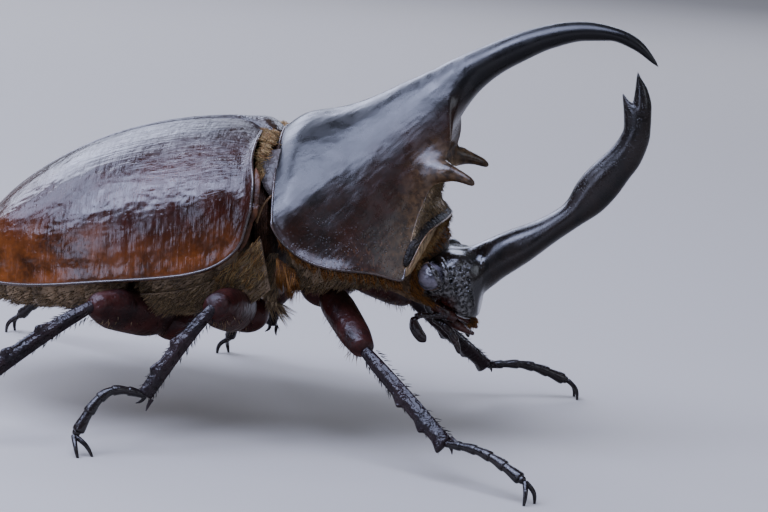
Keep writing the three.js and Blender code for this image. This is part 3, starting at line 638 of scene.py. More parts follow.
def wing_colour(place):
    """Dark chestnut, redder low on the side and orange in patches, and nearly black along the back."""
    x, y, z = parts_of(place)
    deep = mottle(stretched(place, (1, 1, 0.6)), 0.16, (0.014, 0.003, 0.002), (0.050, 0.008, 0.003))
    warm = mottle(place, 0.25, (0.030, 0.008, 0.002), (0.175, 0.046, 0.008))
    body = blend(ramp(z + noise(place, 0.22) * 8.0, 12.0, 5.0), deep, warm)
    outer = blend(ramp(z + x * -0.12, 12.5, 18.5), body, (0.010, 0.005, 0.004))
    around = parts_of(unrolled(place))[0]
    return blend(ramp(around, RIM_TURN, RIM_TURN + 0.02), outer, (0.11, 0.042, 0.014))


def wing_relief(place):
    """Fine wrinkles across the case, long folds that meet at the scutellum, and fine pits."""
    girth = stretched(unrolled(place), (27.0, 37.0, 1.0))
    fine = noise(stretched(girth, (0.5, 3.4, 1.0)), 1.0, 4.0)
    broad = noise(stretched(girth, (0.7, 0.8, 1.0)), 0.6, 2.0)
    long = wrinkles(stretched(girth, (1.5, 0.2, 1.0)), 0.7, 0.10, 4.0)
    x, y, z = parts_of(place)
    folds = long * (ramp(x, -26.0, -6.0) * ramp(z, 8.5, 14.5))
    return fine * 0.050 + broad * 0.30 + folds + punctures(place, 1.8, 0.26, 0.012)


def wing_roughness(place):
    """Worn in short streaks across the case, and duller along the back."""
    across = stretched(unrolled(place), (8.0, 130.0, 1.0))
    worn = ramp(noise(across, 1.0, 3.0), 0.45, 0.75, 0.0, 0.11)
    return even(0.14, 0.24, 0.5)(place) + worn + ramp(parts_of(place)[2], 11.5, 14.5, 0.0, 0.12)


wing_finish = finish("wing_case", wing_colour, wing_relief, wing_roughness, 0.58)
hinge_shell = chitin("hinge_shell", (0.025, 0.008, 0.003), (0.12, 0.042, 0.013), (2.0, 0.3, 0.03),
                     (0.8, 0.06), (0.35, 0.5), 0.35)
bead_finish = chitin("margin_bead", (0.02, 0.012, 0.010), (0.07, 0.04, 0.03), (2.0, 0.3, 0.01), (0.6, 0.02),
                     (0.2, 0.3), 1.0)
for side, name in SIDES:
    edge = wing_case(side)
    walled(settle(skin(edge, 170, 210), f"elytron_{name}", wing_finish, "wing_case"), 0.35)
    front = edge(np.linspace(0.08, RIM_TURN, 26), np.zeros(26))
    rim = edge(np.full(70, RIM_TURN), np.linspace(0.02, 0.985, 70))
    detail(tube(np.concatenate([front, rim]), 0.17, 420), f"elytron_bead_{name}", bead_finish, "wing_case")
    hinge = edge(np.linspace(0.52, RIM_TURN, 16), np.zeros(16)) + (0.42, -0.35 * side, -0.1)
    below = edge(np.full(6, RIM_TURN), np.linspace(0.05, 0.13, 6)) + (0.1, -0.45 * side, -0.42)
    detail(limb((*hinge, *below), ((0, 0.05), (0.15, 0.38), (0.8, 0.42), (1, 0.1)),
                ((0, 0.05), (0.2, 0.14), (1, 0.08)), (1, 0, 0), 16, 160),
           f"wing_hinge_{name}", hinge_shell, "wing_case")

# ---- scutellum -------------------------------------------------------------------------------------------
# The small three-cornered plate between the wing cases' front corners: black, finely pitted, and slightly
# domed. It lies on the waist and fills the notch where the two cases part.
SCUTELLUM = {"length": 6.0, "half_width": 3.0, "front": 0.1, "top": 16.55, "slope": math.radians(7.0)}


def scutellum(u, v):
    side = 2 * u - 1
    back = SCUTELLUM["length"] * v
    wide = SCUTELLUM["half_width"] * (1 - v ** 1.5) ** 0.8
    ends = np.clip(v - 0.9, 0, 1) * 3 + 1.5 * np.clip(1 - v / 0.4, 0, 1) ** 2
    drop = side ** 4 * 0.8 + 0.5 * side ** 2 + ends
    height = SCUTELLUM["top"] - drop + back * math.tan(SCUTELLUM["slope"]) - 0.6 * v
    return np.stack([SCUTELLUM["front"] - back, wide * side, height], 1)


black_plate = chitin("black_plate", (0.006, 0.004, 0.004), (0.04, 0.02, 0.012), (2.2, 0.35, 0.05),
                     (0.8, 0.05), (0.22, 0.36), 0.7)
walled(settle(skin(scutellum, 40, 50), "scutellum", black_plate, "black_shell"), 0.5)

# ---- pronotum and its horn -------------------------------------------------------------------------------
# One vaulted black plate covers the front of the body. It rises into a long horn that bows forward, bears a
# thorn on each side of the horn's root, is beaded along its hind and side margins, and opens in front in a
# collar for the head. Each station is a ring: its crown (x, z) on the middle line, its edge (x, y, z) where
# side and underside meet, its foot (x, z) below, and the form of the two arches between them.
FLANGE_REACH = 0.6
UPPER_SHARE = 0.62
EDGE = UPPER_SHARE / 2  # where round the ring the left edge lies


def arch(t, first, second, third, last):
    """A cubic arch from first to last, drawn towards second and third."""
    s = 1 - t
    return s ** 3 * first + 3 * s * s * t * second + 3 * s * t * t * third + t ** 3 * last


def rings(stations):
    """A skin through the stations: place(u, s) runs at station s from the crown, u 0, down the left side to
    the foot, u 0.5, and up the right side. A form is (crown's roundness, flank's lean and rise at the edge,
    underside's lean and drop at the edge, foot's roundness)."""
    crowns, edges, feet, forms = [np.array(column, float) for column in zip(*stations)]
    number = np.arange(len(stations))
    step = np.maximum(*[np.linalg.norm(np.diff(line, axis=0), axis=1) for line in (crowns, edges)])
    knots = np.concatenate([[0], np.cumsum(np.sqrt(step))])
    crown, edge, foot, form = (spline(knots, crowns), spline(knots, edges), through(knots, feet),
                               through(knots, forms))

    def place(u, s):
        at = np.interp(s, number, knots)
        half = 2 * np.minimum(u, 1 - u)
        upper = half <= UPPER_SHARE
        down = 1 - (1 - np.clip(half / UPPER_SHARE, 0, 1)) ** 1.4
        under = np.clip((half - UPPER_SHARE) / (1 - UPPER_SHARE), 0, 1) ** 1.4
        top_round, flank_lean, flank_rise, under_lean, under_drop, foot_round = form(at).T
        rim = edge(at)
        far = np.where(upper[:, None], crown(at), foot(at))
        lift = np.where(upper, arch(down, 1, 1, flank_rise, 0), arch(under, 0, under_drop, 1, 1))
        out = np.where(upper, arch(down, 0, top_round, 1 - flank_lean, 1),
                       arch(under, 1, 1 - under_lean, foot_round, 0))
        x = rim[:, 0] + (far[:, 0] - rim[:, 0]) * lift
        z = rim[:, 2] + (far[:, 1] - rim[:, 2]) * lift
        return np.stack([x, np.where(u <= 0.5, 1, -1) * rim[:, 1] * out, z], 1)
    return place


def closed_rings(place, first, last, start, end, around, along):
    """The closed skin from station first to last, with each end drawn in to a point."""
    steps = np.linspace(first, last, 400)
    reach = [np.linalg.norm(np.diff(place(np.full(400, u), steps), axis=0), axis=1)
             for u in (0, 0.15, 0.31, 0.5)]
    run = np.concatenate([[0], np.cumsum(np.max(reach, axis=0))])
    cap = 3 / along  # the three rows that close each end

    def spot(u, v):
        s = np.interp(np.clip((v - cap) / (1 - 2 * cap), 0, 1), run / run[-1], steps)
        ring = place(u, s)
        inward = (np.clip(1 - v / cap, 0, 1) + np.clip(1 - (1 - v) / cap, 0, 1))[:, None]
        goal = np.where((v < 0.5)[:, None], np.array(start, float), np.array(end, float))
        return ring + (goal - ring) * inward
    mesh = skin(spot, around, along)
    layer = mesh.loops.layers.uv["skin"]
    for edge in mesh.edges:
        rows = {round(end[layer].uv.y * along) for loop in edge.link_loops
                for end in (loop, loop.link_loop_next)}
        edge.smooth = not rows <= {3} and not rows <= {along - 3}
    return mesh


def relax(mesh, share_of, times):
    """Evens out the skin; share_of gives each corner's share in it, from 0 to 1."""
    mesh.verts.index_update()
    spots = np.array([corner.co for corner in mesh.verts])
    pairs = np.array([[corner.index for corner in edge.verts] for edge in mesh.edges])
    pairs = np.concatenate([pairs, pairs[:, ::-1]])
    count = np.bincount(pairs[:, 0], minlength=len(spots))
    share = share_of(*spots.T) / 2
    for _ in range(times):
        mean = [np.bincount(pairs[:, 0], spots[pairs[:, 1], axis], len(spots)) / count for axis in range(3)]
        spots += share[:, None] * (np.stack(mean, 1) - spots)
    for corner, spot in zip(mesh.verts, spots):
        corner.co = spot


def refined(mesh, root, reach, cuts):
    """Cuts the skin's edges near root into shorter ones."""
    near = [edge for edge in mesh.edges
            if all((corner.co - root).length < reach * 1.05 for corner in edge.verts)]
    bmesh.ops.subdivide_edges(mesh, edges=near, cuts=cuts, use_grid_fill=True)


def pull(mesh, root, tip, reach, sharpness, blunt, cuts=0):
    """Draws the skin round root out into a thorn that ends at tip."""
    root, tip = Vector(root), Vector(tip)
    if cuts:
        refined(mesh, root, reach, cuts)
    for corner in mesh.verts:
        distance = math.hypot((corner.co - root).length, blunt) - blunt
        if distance < reach:
            corner.co += (tip - root) * (1 - distance / reach) ** sharpness


def hook(mesh, root, tip, bow, ridge, form, cuts):
    """Draws the ridge at root out into a round, bent thorn. ridge is the ridge's direction, form pairs a
    radius with its share of the way to the tip, and bow lifts the thorn's middle."""
    root, tip, bow = Vector(root), Vector(tip), Vector(bow)
    root = min(mesh.verts, key=lambda corner: (corner.co - root).length).co.copy()
    height, reach = through(*zip(*form)), form[-1][0]
    refined(mesh, root, reach, cuts)
    axis = (tip - root).normalized()
    along = (Vector(ridge) - axis * axis.dot(Vector(ridge))).normalized()
    out = axis.cross(along)
    chosen = [corner for corner in mesh.verts if (corner.co - root).length < reach]
    lean = np.array([(corner.co - root).dot(out) / max((corner.co - root).length, 0.05) for corner in chosen])
    widest = {sign: np.percentile(np.abs(lean[np.sign(lean) == sign]), 95) for sign in (-1, 1)}
    for corner, slant in zip(chosen, lean):
        away = corner.co - root
        share = float(height(away.length))
        aside = along * away.dot(along) + out * away.dot(out) / widest[1 if slant > 0 else -1]
        goal = root + (tip - root) * share + bow * 4 * share * (1 - share) + aside.normalized() * away.length
        grip = min(share / 0.35, 1)
        corner.co = corner.co.lerp(goal, grip * grip * (3 - 2 * grip))


ARCH_OF_HORN = (0.55, 0.0, 0.55, 0.0, 0.55, 0.55)
PRONOTUM = (
    ((0.3, 15.5), (1.1, 15.0, 6.3), (1.2, 5.9), (0.44, 0.0, 0.40, 0.5, 0.1, 0.6)),
    ((2.6, 17.05), (2.1, 15.25, 4.8), (2.1, 4.2), (0.38, 0.0, 0.40, 0.5, 0.1, 0.6)),
    ((6.3, 17.75), (5.0, 15.6, 2.6), (5.0, 2.2), (0.36, 0.0, 0.40, 0.5, 0.1, 0.6)),
    ((10.7, 19.2), (9.5, 15.0, 1.4), (9.5, 1.0), (0.32, 0.0, 0.42, 0.5, 0.1, 0.6)),
    ((13.7, 20.65), (13.0, 13.15, 0.7), (13.2, 0.3), (0.24, 0.02, 0.46, 0.5, 0.1, 0.6)),
    ((15.7, 21.55), (15.3, 12.0, 0.0), (15.8, -0.4), (0.16, 0.04, 0.50, 0.4, 0.2, 0.6)),
    ((16.4, 21.9), (15.6, 11.45, 1.2), (18.9, 5.6), (0.15, 0.06, 0.50, 0.05, 0.35, 0.45)),
    ((17.2, 22.25), (16.6, 8.95, 6.4), (17.5, 8.2), (0.16, 0.10, 0.50, 0.10, 0.5, 0.5)),
    ((18.0, 22.65), (18.8, 6.9, 11.5), (17.6, 11.2), (0.20, 0.14, 0.50, 0.15, 0.5, 0.5)),
    ((18.7, 23.05), (20.0, 5.1, 14.5), (19.0, 14.0), (0.34, 0.12, 0.50, 0.10, 0.5, 0.5)),
    ((19.5, 23.45), (20.1, 3.5, 17.5), (20.45, 16.8), (0.50, 0.06, 0.50, 0.05, 0.5, 0.55)),
    ((20.9, 24.1), (21.6, 2.45, 21.6), (22.6, 19.8), ARCH_OF_HORN),
    ((23.4, 25.2), (24.1, 2.15, 23.5), (24.9, 21.8), ARCH_OF_HORN),
    ((26.4, 26.45), (27.0, 1.85, 24.9), (27.6, 23.35), ARCH_OF_HORN),
    ((30.2, 27.55), (30.6, 1.65, 26.25), (30.95, 24.9), ARCH_OF_HORN),
    ((34.4, 28.0), (34.5, 1.35, 26.95), (34.6, 25.8), ARCH_OF_HORN),
    ((38.0, 27.4), (37.7, 1.05, 26.65), (37.4, 25.85), ARCH_OF_HORN),
    ((40.9, 25.95), (40.45, 0.7, 25.45), (40.0, 24.95), ARCH_OF_HORN),
    ((42.72, 23.55), (42.5, 0.22, 23.45), (42.3, 23.35), ARCH_OF_HORN),
)
HORN_STATION, SIDE_STATIONS = 11, 6  # the horn's first station, and how many bear the side margin
crown_line = spline(*zip(*(station[0] for station in PRONOTUM[:14])))
margin_line = spline((0.8, 2.1, 5.0, 9.5, 13.0, 15.3, 17.7, 21.0),
                     ((14.95, 6.6), (15.25, 4.8), (15.6, 2.6), (15.0, 1.4), (13.3, 0.7), (12.0, 0.0),
                      (10.6, 0.0), (8.7, 0.0)))
crown_radius = through((0, 6, 10, 14, 17, 22), (11.0, 8.0, 5.0, 2.6, 1.9, 1.5))
flange_depth = through((0.8, 2.1, 6.0, 10.0, 15.0, 16.0, 22.0), (0.25, 0.42, 0.42, 0.3, 0.03, 0.0, 0.0))
CROWN_SLANT = 0.9  # how the upper side falls away from the round crown
SHOULDER = (6.0, 0.92)  # the blunt ridge from the hind corner to the horn: height at x 1, and rise
SHOULDER_ROUND = 3.0


def flank(x, z):
    """The pronotum's half width at a height: a round crown, a blunt ridge, and a steeper side below it."""
    wide, low = margin_line(x).T
    crown = crown_line(x)
    shoulder = crown - SHOULDER[0] - SHOULDER[1] * (x - 1)

    def upper(depth):
        return np.sqrt((CROWN_SLANT * depth) ** 2 + 2 * crown_radius(x) * depth)

    def beyond(depth):
        return (depth - shoulder + np.hypot(depth - shoulder, SHOULDER_ROUND)) / 2
    down, full = np.clip(crown - z, 0, None), crown - low
    share = (beyond(down) - beyond(0)) / (beyond(full) - beyond(0))
    return upper(down) - (upper(full) - wide) * share


horn_place = rings(PRONOTUM)


def pronotum_place(u, s):
    """The stations' rings, with the flank in its own form down to their edges."""
    spot = horn_place(u, s)
    edge = horn_place(np.full(len(u), EDGE), s)
    rim = flank(edge[:, 0], edge[:, 2])
    upper = 2 * np.minimum(u, 1 - u) < UPPER_SHARE
    crown = horn_place(np.zeros(len(u)), s)
    above = spot[:, 2] - edge[:, 2]
    share = above / (crown[:, 2] - edge[:, 2])
    own = flank(spot[:, 0], spot[:, 2] - share * (crown[:, 2] - crown_line(crown[:, 0])))
    own -= flange_depth(spot[:, 0]) * (1 - np.exp(-(above / FLANGE_REACH) ** 2)) * own / rim
    wanted = np.where(upper, np.where(u <= 0.5, 1, -1) * own, spot[:, 1] * rim / edge[:, 1])
    near_horn = np.clip((s - HORN_STATION + 3) / 3, 0, 1)
    spot[:, 1] += (wanted - spot[:, 1]) * (1 - near_horn ** 2 * (3 - 2 * near_horn))
    return spot


def front_share(x, y, z):
    """The side's front part and its turn into the face that looks forward."""
    return (np.clip((x - 12.5) / 2, 0, 1) * np.clip((21.5 - x) / 1.5, 0, 1) * np.clip((z - 1.5) / 1.5, 0, 1)
            * np.clip((crown_line(x) - z - 0.6) / 1.5, 0, 1) * np.clip(np.abs(y) - 2, 0, 1))


THORN = {"root": (18.8, 6.9, 11.6), "tip": (22.95, 7.5, 10.25), "ridge": (0.34, -0.37, 0.81)}
THORN_FORM = ((0, 1), (0.25, 0.97), (0.45, 0.88), (0.6, 0.68), (0.8, 0.46), (1.15, 0.28), (1.7, 0.14),
              (2.5, 0.05), (3.6, 0))
pronotum_mesh = closed_rings(pronotum_place, 0, HORN_STATION, (2.6, 0, 9), (22.2, 0, 22.2), 300, 150)
relax(pronotum_mesh, front_share, 30)
for side, _ in SIDES:
    root, tip, ridge = (mirrored(spot, side) for spot in THORN.values())
    hook(pronotum_mesh, root, tip, (0, 0, 0.35), ridge, THORN_FORM, 2)


def underside(place):
    """1 on the side of the pronotum that looks down and forward, below its edge."""
    off = abs(parts_of(unrolled(place))[0] - 0.5)
    below_edge = ramp(off, 0.5 - EDGE + 0.006, 0.5 - EDGE - 0.014)
    x, y, z = parts_of(place)
    return below_edge * (ramp(z, 12.0, 9.5) * ramp(x, 9.0, 13.0) * ramp(x, 20.2, 19.2))


def shell_colour(place):
    """Black above, deep maroon on the lower side, flecked with orange-brown low in front, and olive brown
    on the face that looks forward."""
    x, y, z = parts_of(place)
    maroon = mottle(place, 0.22, (0.006, 0.002, 0.001), (0.028, 0.006, 0.002))
    below = x * 0.62 + 8.0 - z
    body = blend(ramp(below + noise(place, 0.3) * 5.0, 1.0, 8.0), (0.003, 0.003, 0.004), maroon)
    flecks = ramp(noise(stretched(place, (1.4, 1.0, 0.6)), 3.0, 3.0), 0.52, 0.72)
    body = blend(flecks * ramp(z + x * -0.45, 2.0, -5.0), body, (0.10, 0.036, 0.010))
    front = ramp(x + abs(z - 3.0) * -0.22, 12.0, 16.5, 0.0, 0.75) * ramp(z, 17.0, 12.0)
    body = blend(front, body, mottle(place, 1.6, (0.018, 0.011, 0.006), (0.15, 0.085, 0.038)))
    face = mottle(stretched(place, (1.0, 1.0, 0.35)), 2.4, (0.11, 0.074, 0.038), (0.66, 0.45, 0.24))
    return blend(underside(place), body, face)


def shell_relief(place):
    """A fine even grain with shallow dents, and streaks up the blunt ridge; pits gather in a patch low on the
    side; the face has a short nap."""
    z = parts_of(place)[2]
    climbing = stretched(place, (1.0, 1.0, 1.0), (0, math.atan(SHOULDER[1]), 0))
    streaks = noise(stretched(climbing, (0.22, 0.6, 1.0)), 0.55, 2.0)
    pitted = punctures(place, 3.0, 0.32, 0.02) * ramp(z + noise(place, 0.35) * 6.0, 12.0, 7.0)
    total = noise(place, 5.0, 3.0) * 0.010 + noise(place, 0.45, 2.0) * 0.05 + streaks * 0.16 + pitted
    return total + noise(stretched(place, (1.0, 1.0, 0.3)), 5.0, 2.0) * underside(place) * 0.16


def shell_roughness(place):
    return even(0.23, 0.34, 0.5)(place) + underside(place) * 0.3


shell_finish = finish("black_shell", shell_colour, shell_relief, shell_roughness, 0.66)
settle(pronotum_mesh, "pronotum", shell_finish, "black_shell")


def thorn_relief(place):
    """Nearly smooth, with a raised margin along each side of the horn's upper face."""
    around = parts_of(unrolled(place))[0]
    off = abs(calc("FRACT", around + 0.5) - 0.5)
    bead = ramp(off, 0.035, 0.055) * 0.10 - ramp(off, 0.06, 0.085) * 0.10
    total = noise(place, 5.0, 3.0) * 0.010 + noise(place, 0.45, 2.0) * 0.05
    return total + bead * ramp(parts_of(place)[0], 33.0, 24.0)


horn_finish = finish("horn_shell",
                     lambda place: mottle(place, 0.3, (0.003, 0.003, 0.004), (0.006, 0.005, 0.005)),
                     thorn_relief, even(0.23, 0.34, 0.5), 0.58)
settle(closed_rings(horn_place, HORN_STATION, len(PRONOTUM) - 1, (21.3, 0, 21.6), (42.95, 0, 22.95), 72, 220),
       "thoracic_horn", horn_finish, "horn")

base_rim = pronotum_place(np.linspace(0, EDGE, 30), np.zeros(30))
side_rim = pronotum_place(np.full(60, EDGE), np.linspace(0, SIDE_STATIONS, 60))
for side, name in SIDES:
    detail(tube(mirrored([*base_rim[:-1], *side_rim], side), 0.16, 420), f"pronotum_bead_{name}", bead_finish,
           "black_shell")

# The collar: the front opening's turned-up rim, a flat dark band with a fine pale bead along its inner edge.
collar_finish = chitin("collar_shell", (0.006, 0.005, 0.005), (0.030, 0.022, 0.016), (3.0, 0.35, 0.05),
                       (1.2, 0.10), (0.42, 0.56), 0.2)
along = np.linspace(0, 1, 60)
collar_line = pronotum_place(EDGE - 0.01 + (1.02 - UPPER_SHARE) * along,
                             SIDE_STATIONS + 0.3 * np.sin(2 * np.pi * along) ** 2)
detail(limb(collar_line + (0.0, 0, 0.3), ((0, 0.35), (0.1, 0.6), (0.9, 0.6), (1, 0.35)), 0.2,
            (-0.78, 0, 0.62), 20, 260), "collar_rim", collar_finish, "black_shell")
detail(tube(collar_line + (0.45, 0, -0.05), 0.12, 260), "collar_bead", strut_shell, "black_shell")

# Soft neck skin fills the collar behind the head.
neck_skin = chitin("neck_skin", (0.03, 0.016, 0.008), (0.16, 0.10, 0.055), (3.0, 0.35, 0.03), (0.9, 0.15),
                   (0.45, 0.6), 0.3)
NAPE = ((15.9, -6.4, 2.0), (17.1, -3.6, 2.9), (17.5, 0, 3.1), (17.1, 3.6, 2.9), (15.9, 6.4, 2.0))
detail(limb(((15.5, -7.8, -0.2), (15.5, 0, -0.2), (15.5, 7.8, -0.2)),
            ((0, 1.0), (0.1, 1.6), (0.9, 1.6), (1, 1.0)), ((0, 1.7), (0.1, 2.4), (0.9, 2.4), (1, 1.7)),
            (1, 0, 0), 40, 60, ends=(0.06, 0.06)), "neck", neck_skin, "black_shell")
detail(limb(NAPE, ((0, 1.0), (0.5, 1.4), (1, 1.0)), ((0, 1.5), (0.5, 2.4), (1, 1.5)), (1, 0, 0.5), 32, 60,
            ends=(0.1, 0.1)), "nape", neck_skin, "black_shell")

# Hair: a dense fringe inside the collar and orange hair behind the eye, brown nap on the face that looks
# forward, and a fringe along the pronotum's side margin.
COLLAR_HAIR = path(((18.7, 1.0, 5.6), (18.5, 3.6, 4.8), (17.7, 5.8, 3.2), (16.6, 7.5, 1.6),
                    (16.3, 7.7, -0.6)))
THROAT_HAIR = path(((12.6, 7.2, -1.0), (14.6, 6.4, -1.9), (16.2, 5.6, -2.9), (17.2, 4.9, -3.6)))
COLLAR_COATS = (
    ("collar_fringe", 1100, WHOLE, BOTH_WAYS,
     lambda a, b: steps_from(COLLAR_HAIR, a, 0.4 * b - 0.2, 0.2 * b, 0.3 * b + 0.1),
     (0.65, -0.1, -0.7), (0.5, 1.1), halved, golden_hair, 0.04, 0.1, 0.25, 32, 90),
    ("throat_hair", 420, WHOLE, BOTH_WAYS,
     lambda a, b: steps_from(THROAT_HAIR, a, 0.3 * b, 0.3 * b, -0.1 * b),
     (0.75, -0.15, -0.4), (1.2, 2.4), halved, orange_hair, 0.05, 0.15, 0.2, 33, 30),
    ("neck_coat", 700, BOTH_WAYS, BOTH_WAYS,
     lambda a, b: (16.0 + 0.7 * b, 8.0 - 0.5 * a ** 2 - 0.9 * np.abs(b), -0.2 + 2.0 * a),
     (0.6, 0.15, -0.75), (0.7, 1.5), lambda a, b: (b / 2 + 0.5, a / 2 + 0.5), orange_hair, 0.045, 0.1, 0.25,
     38, 70),
    ("nape_coat", 500, ("uniform", 0.5, 1), ("uniform", -1.8, 0.4),
     lambda a, b: path(NAPE)(a) + np.cos(b)[:, None] * (1.12, 0, 0.56) + np.sin(b)[:, None] * (0.95, 0, -1.9),
     (0.75, 0.15, -0.55), (0.5, 1.0), quartered, orange_hair, 0.045, 0.1, 0.25, 39),
    ("face_nap", 1900, ("uniform", 0.325, 0.5), WHOLE, lambda a, b: pronotum_place(a, 6.15 + 2.1 * b),
     (0.5, 0.15, -0.8), (0.5, 1.0), plain, brown_hair, 0.035, 0.1, 0.22, 34),
    ("margin_fringe", 420, WHOLE, WHOLE,
     lambda a, b: steps_from(lambda a: pronotum_place(0 * a + EDGE, 0.6 + 4.2 * a), a, 0, -0.5 - 0.5 * b,
                             -0.25 - 0.1 * b),
     (0.25, 0.05, -0.9), (0.7, 1.6), plain, orange_hair, 0.045, 0.1, 0.25, 35, 45),
)
for side, name in SIDES:
    rng = np.random.default_rng(31)
    for row in COLLAR_COATS:
        strands(rng, side, *row)
    process = mirrored(((12.8, 6.6, -1.3), (15.4, 5.6, -2.6), (18.0, 4.2, -4.2)), side)
    detail(limb(process, ((0, 0.7), (0.6, 0.75), (1, 0.4)), ((0, 0.5), (1, 0.4)), (0.3, 0, 1), 24, 50),
           f"throat_process_{name}", neck_skin, "under_shell")

# ---- prosternum ------------------------------------------------------------------------------------------
# The plate below the pronotum, between the front legs, with a blunt keel between them.
PROSTERNUM_HIND, PROSTERNUM_FRONT = 1.9, 15.1
prosternum_bottom = through((1.9, 6, 10, 15.1), (-2.6, -3.2, -2.1, -1.9))


def prosternum(u, v):
    ahead = (1 - np.cos(np.pi * v)) / 2
    x = PROSTERNUM_HIND + (PROSTERNUM_FRONT - PROSTERNUM_HIND) * ahead
    ends = np.clip(np.minimum(x - PROSTERNUM_HIND, PROSTERNUM_FRONT - x) / 1.2, 0, 1)
    draw = np.sqrt(1 - (1 - ends) ** 2)
    station = np.interp(x, [s[1][0] for s in PRONOTUM[:SIDE_STATIONS]], range(SIDE_STATIONS))
    edge = pronotum_place(np.full(len(x), EDGE), station)
    turn = 2 * np.pi * u
    top = edge[:, 2] + 0.3
    low = (top - prosternum_bottom(x)) * draw
    z = top + np.where(np.sin(turn) < 0, -low * np.abs(np.sin(turn)) ** 0.8, 0.8 * np.sin(turn) * draw)
    return np.stack([x, (edge[:, 1] - 1.2 - 3.4 * ahead) * draw * np.cos(turn), z], 1)


settle(skin(prosternum, 120, 90), "prosternum", under_shell, "under_shell")
for (side, name), share in zip(SIDES, ((0.78, 0.99), (0.51, 0.72))):
    grown(f"prosternum_coat_{name}", prosternum, 2200, share, (0.02, 0.98), 36, (-0.5, 0.3 * side, -0.75),
          (0.7, 1.4), 0.04, 0.1, 0.25, 37, 300)

# ---- head and its horn -----------------------------------------------------------------------------------
# The small head is sunk into the collar and drawn up in front into a horn that curves up and back and ends
# in a fork. The cheeks are rough as a rasp; the horn's outer face is smooth and its inner face grained.
ARCH_OF_HEAD = (0.72, 0.0, 0.8, 0.0, 0.5, 0.6)
HEAD = (
    ((15.2, 1.4), (15.6, 4.8, -1.2), (15.4, -3.4), ARCH_OF_HEAD),
    ((16.8, 1.85), (17.0, 5.7, -0.9), (16.9, -4.2), ARCH_OF_HEAD),
    ((18.8, 1.95), (18.6, 6.0, -1.0), (18.4, -5.0), (0.5, 0.0, 0.7, 0.0, 0.5, 0.6)),
    ((20.4, 1.8), (20.2, 5.7, -1.5), (20.0, -5.9), (0.38, 0.0, 0.62, 0.0, 0.55, 0.65)),
    ((21.9, 2.0), (21.6, 4.7, -1.9), (21.6, -6.5), (0.3, 0.0, 0.55, 0.0, 0.6, 0.7)),
    ((23.3, 2.6), (22.9, 3.6, -1.6), (22.7, -6.0), (0.36, 0.0, 0.5, 0.0, 0.6, 0.65)),
    ((24.6, 3.2), (24.1, 3.0, -0.6), (23.0, -4.1), ARCH_OF_HORN),
    ((26.3, 3.95), (26.0, 2.5, 0.7), (25.0, -2.1), ARCH_OF_HORN),
    ((28.3, 4.7), (28.5, 2.2, 2.2), (28.6, 0.4), ARCH_OF_HORN),
    ((30.6, 5.8), (31.1, 1.95, 4.2), (31.7, 2.8), ARCH_OF_HORN),
    ((32.6, 7.3), (33.4, 1.8, 6.0), (34.4, 4.7), ARCH_OF_HORN),
    ((33.55, 9.0), (35.0, 1.7, 7.7), (36.6, 6.2), ARCH_OF_HORN),
    ((34.9, 10.9), (36.5, 1.65, 9.5), (38.4, 8.1), ARCH_OF_HORN),
    ((36.8, 12.75), (38.2, 1.55, 11.4), (39.8, 10.1), ARCH_OF_HORN),
    ((38.4, 14.5), (39.7, 1.45, 13.5), (41.15, 12.1), ARCH_OF_HORN),
    ((39.3, 16.3), (40.7, 1.3, 16.1), (42.15, 15.3), ARCH_OF_HORN),
    ((39.95, 18.2), (41.1, 1.05, 18.4), (42.25, 18.2), ARCH_OF_HORN),
    ((40.3, 20.0), (41.0, 0.7, 20.2), (41.8, 20.3), ARCH_OF_HORN),
    ((40.5, 21.8), (40.68, 0.3, 21.85), (40.95, 21.8), ARCH_OF_HORN),
)
HEAD_HORN_STATION = 5.5
BROW_ROOT, BROW_TIP = (20.9, 3.9, 1.2), (21.1, 4.35, 1.75)
head_place = rings(HEAD)


def head_relief(place):
    """Sharp close granules on the cheeks behind the horn, and a fine grain on the brow."""
    x, y, z = parts_of(place)
    rough = ramp(abs(y), 2.0, 3.2) * ramp(z, 1.3, 0.5) * ramp(x + z * 0.12, 22.0, 21.2)
    fine = noise(place, 4.0, 3.0) * 0.02 + punctures(place, 3.2, 0.3, 0.015)
    return punctures(place, 2.1, 0.5, 0.16) * rough + fine


def head_black(scale):
    return lambda place: mottle(place, scale, (0.004, 0.0035, 0.004), (0.016, 0.010, 0.008))


def head_colour(place):
    """Black, with grey patches on the cheeks that are painted glints of their granules, and dark red on the
    underside behind the mouth.
    """
    x, y, z = parts_of(place)
    low = ramp(z, -2.6, -3.8) * ramp(x, 21.2, 19.8)
    # Grey patches on the cheeks: painted glints of the granules, not a colour of the shell.
    painted_glints = (ramp(abs(y), 2.4, 3.4) * ramp(x, 22.6, 21.6) * ramp(noise(place, 2.2, 2.0), 0.4, 0.65)
             * ramp(z, 1.2, 0.4))
    shell = blend(painted_glints, head_black(0.5)(place), (0.16, 0.152, 0.148))
    return blend(low, shell, mottle(place, 0.9, (0.015, 0.004, 0.003), (0.060, 0.013, 0.009)))


def dimpled(mesh, chosen, spacing, radius, depth, seed):
    """Sinks round pits with raised rims into the skin, at random corners among the chosen ones."""
    mesh.normal_update()
    mesh.verts.index_update()
    spots = np.array([corner.co for corner in mesh.verts])
    normals = np.array([corner.normal for corner in mesh.verts])
    pits = []
    order = [corner.index for corner in mesh.verts if chosen(corner.co)]
    for index in np.random.default_rng(seed).permutation(order):
        if all(np.linalg.norm(spots[index] - spots[other]) > spacing for other in pits):
            pits.append(index)
    shift = np.zeros(len(spots))
    for index in pits:
        away = np.linalg.norm(spots - spots[index], axis=1) / radius
        shift += depth * (0.45 * np.exp(-((away - 1.35) / 0.4) ** 2) - np.exp(-away ** 4))
    for corner, place in zip(mesh.verts, spots + normals * shift[:, None]):
        corner.co = place


def on_cheek(co):
    return 19.9 < co.x < 21.9 - 0.12 * co.z and -4.6 < co.z < 0.2 and abs(co.y) > 2.6


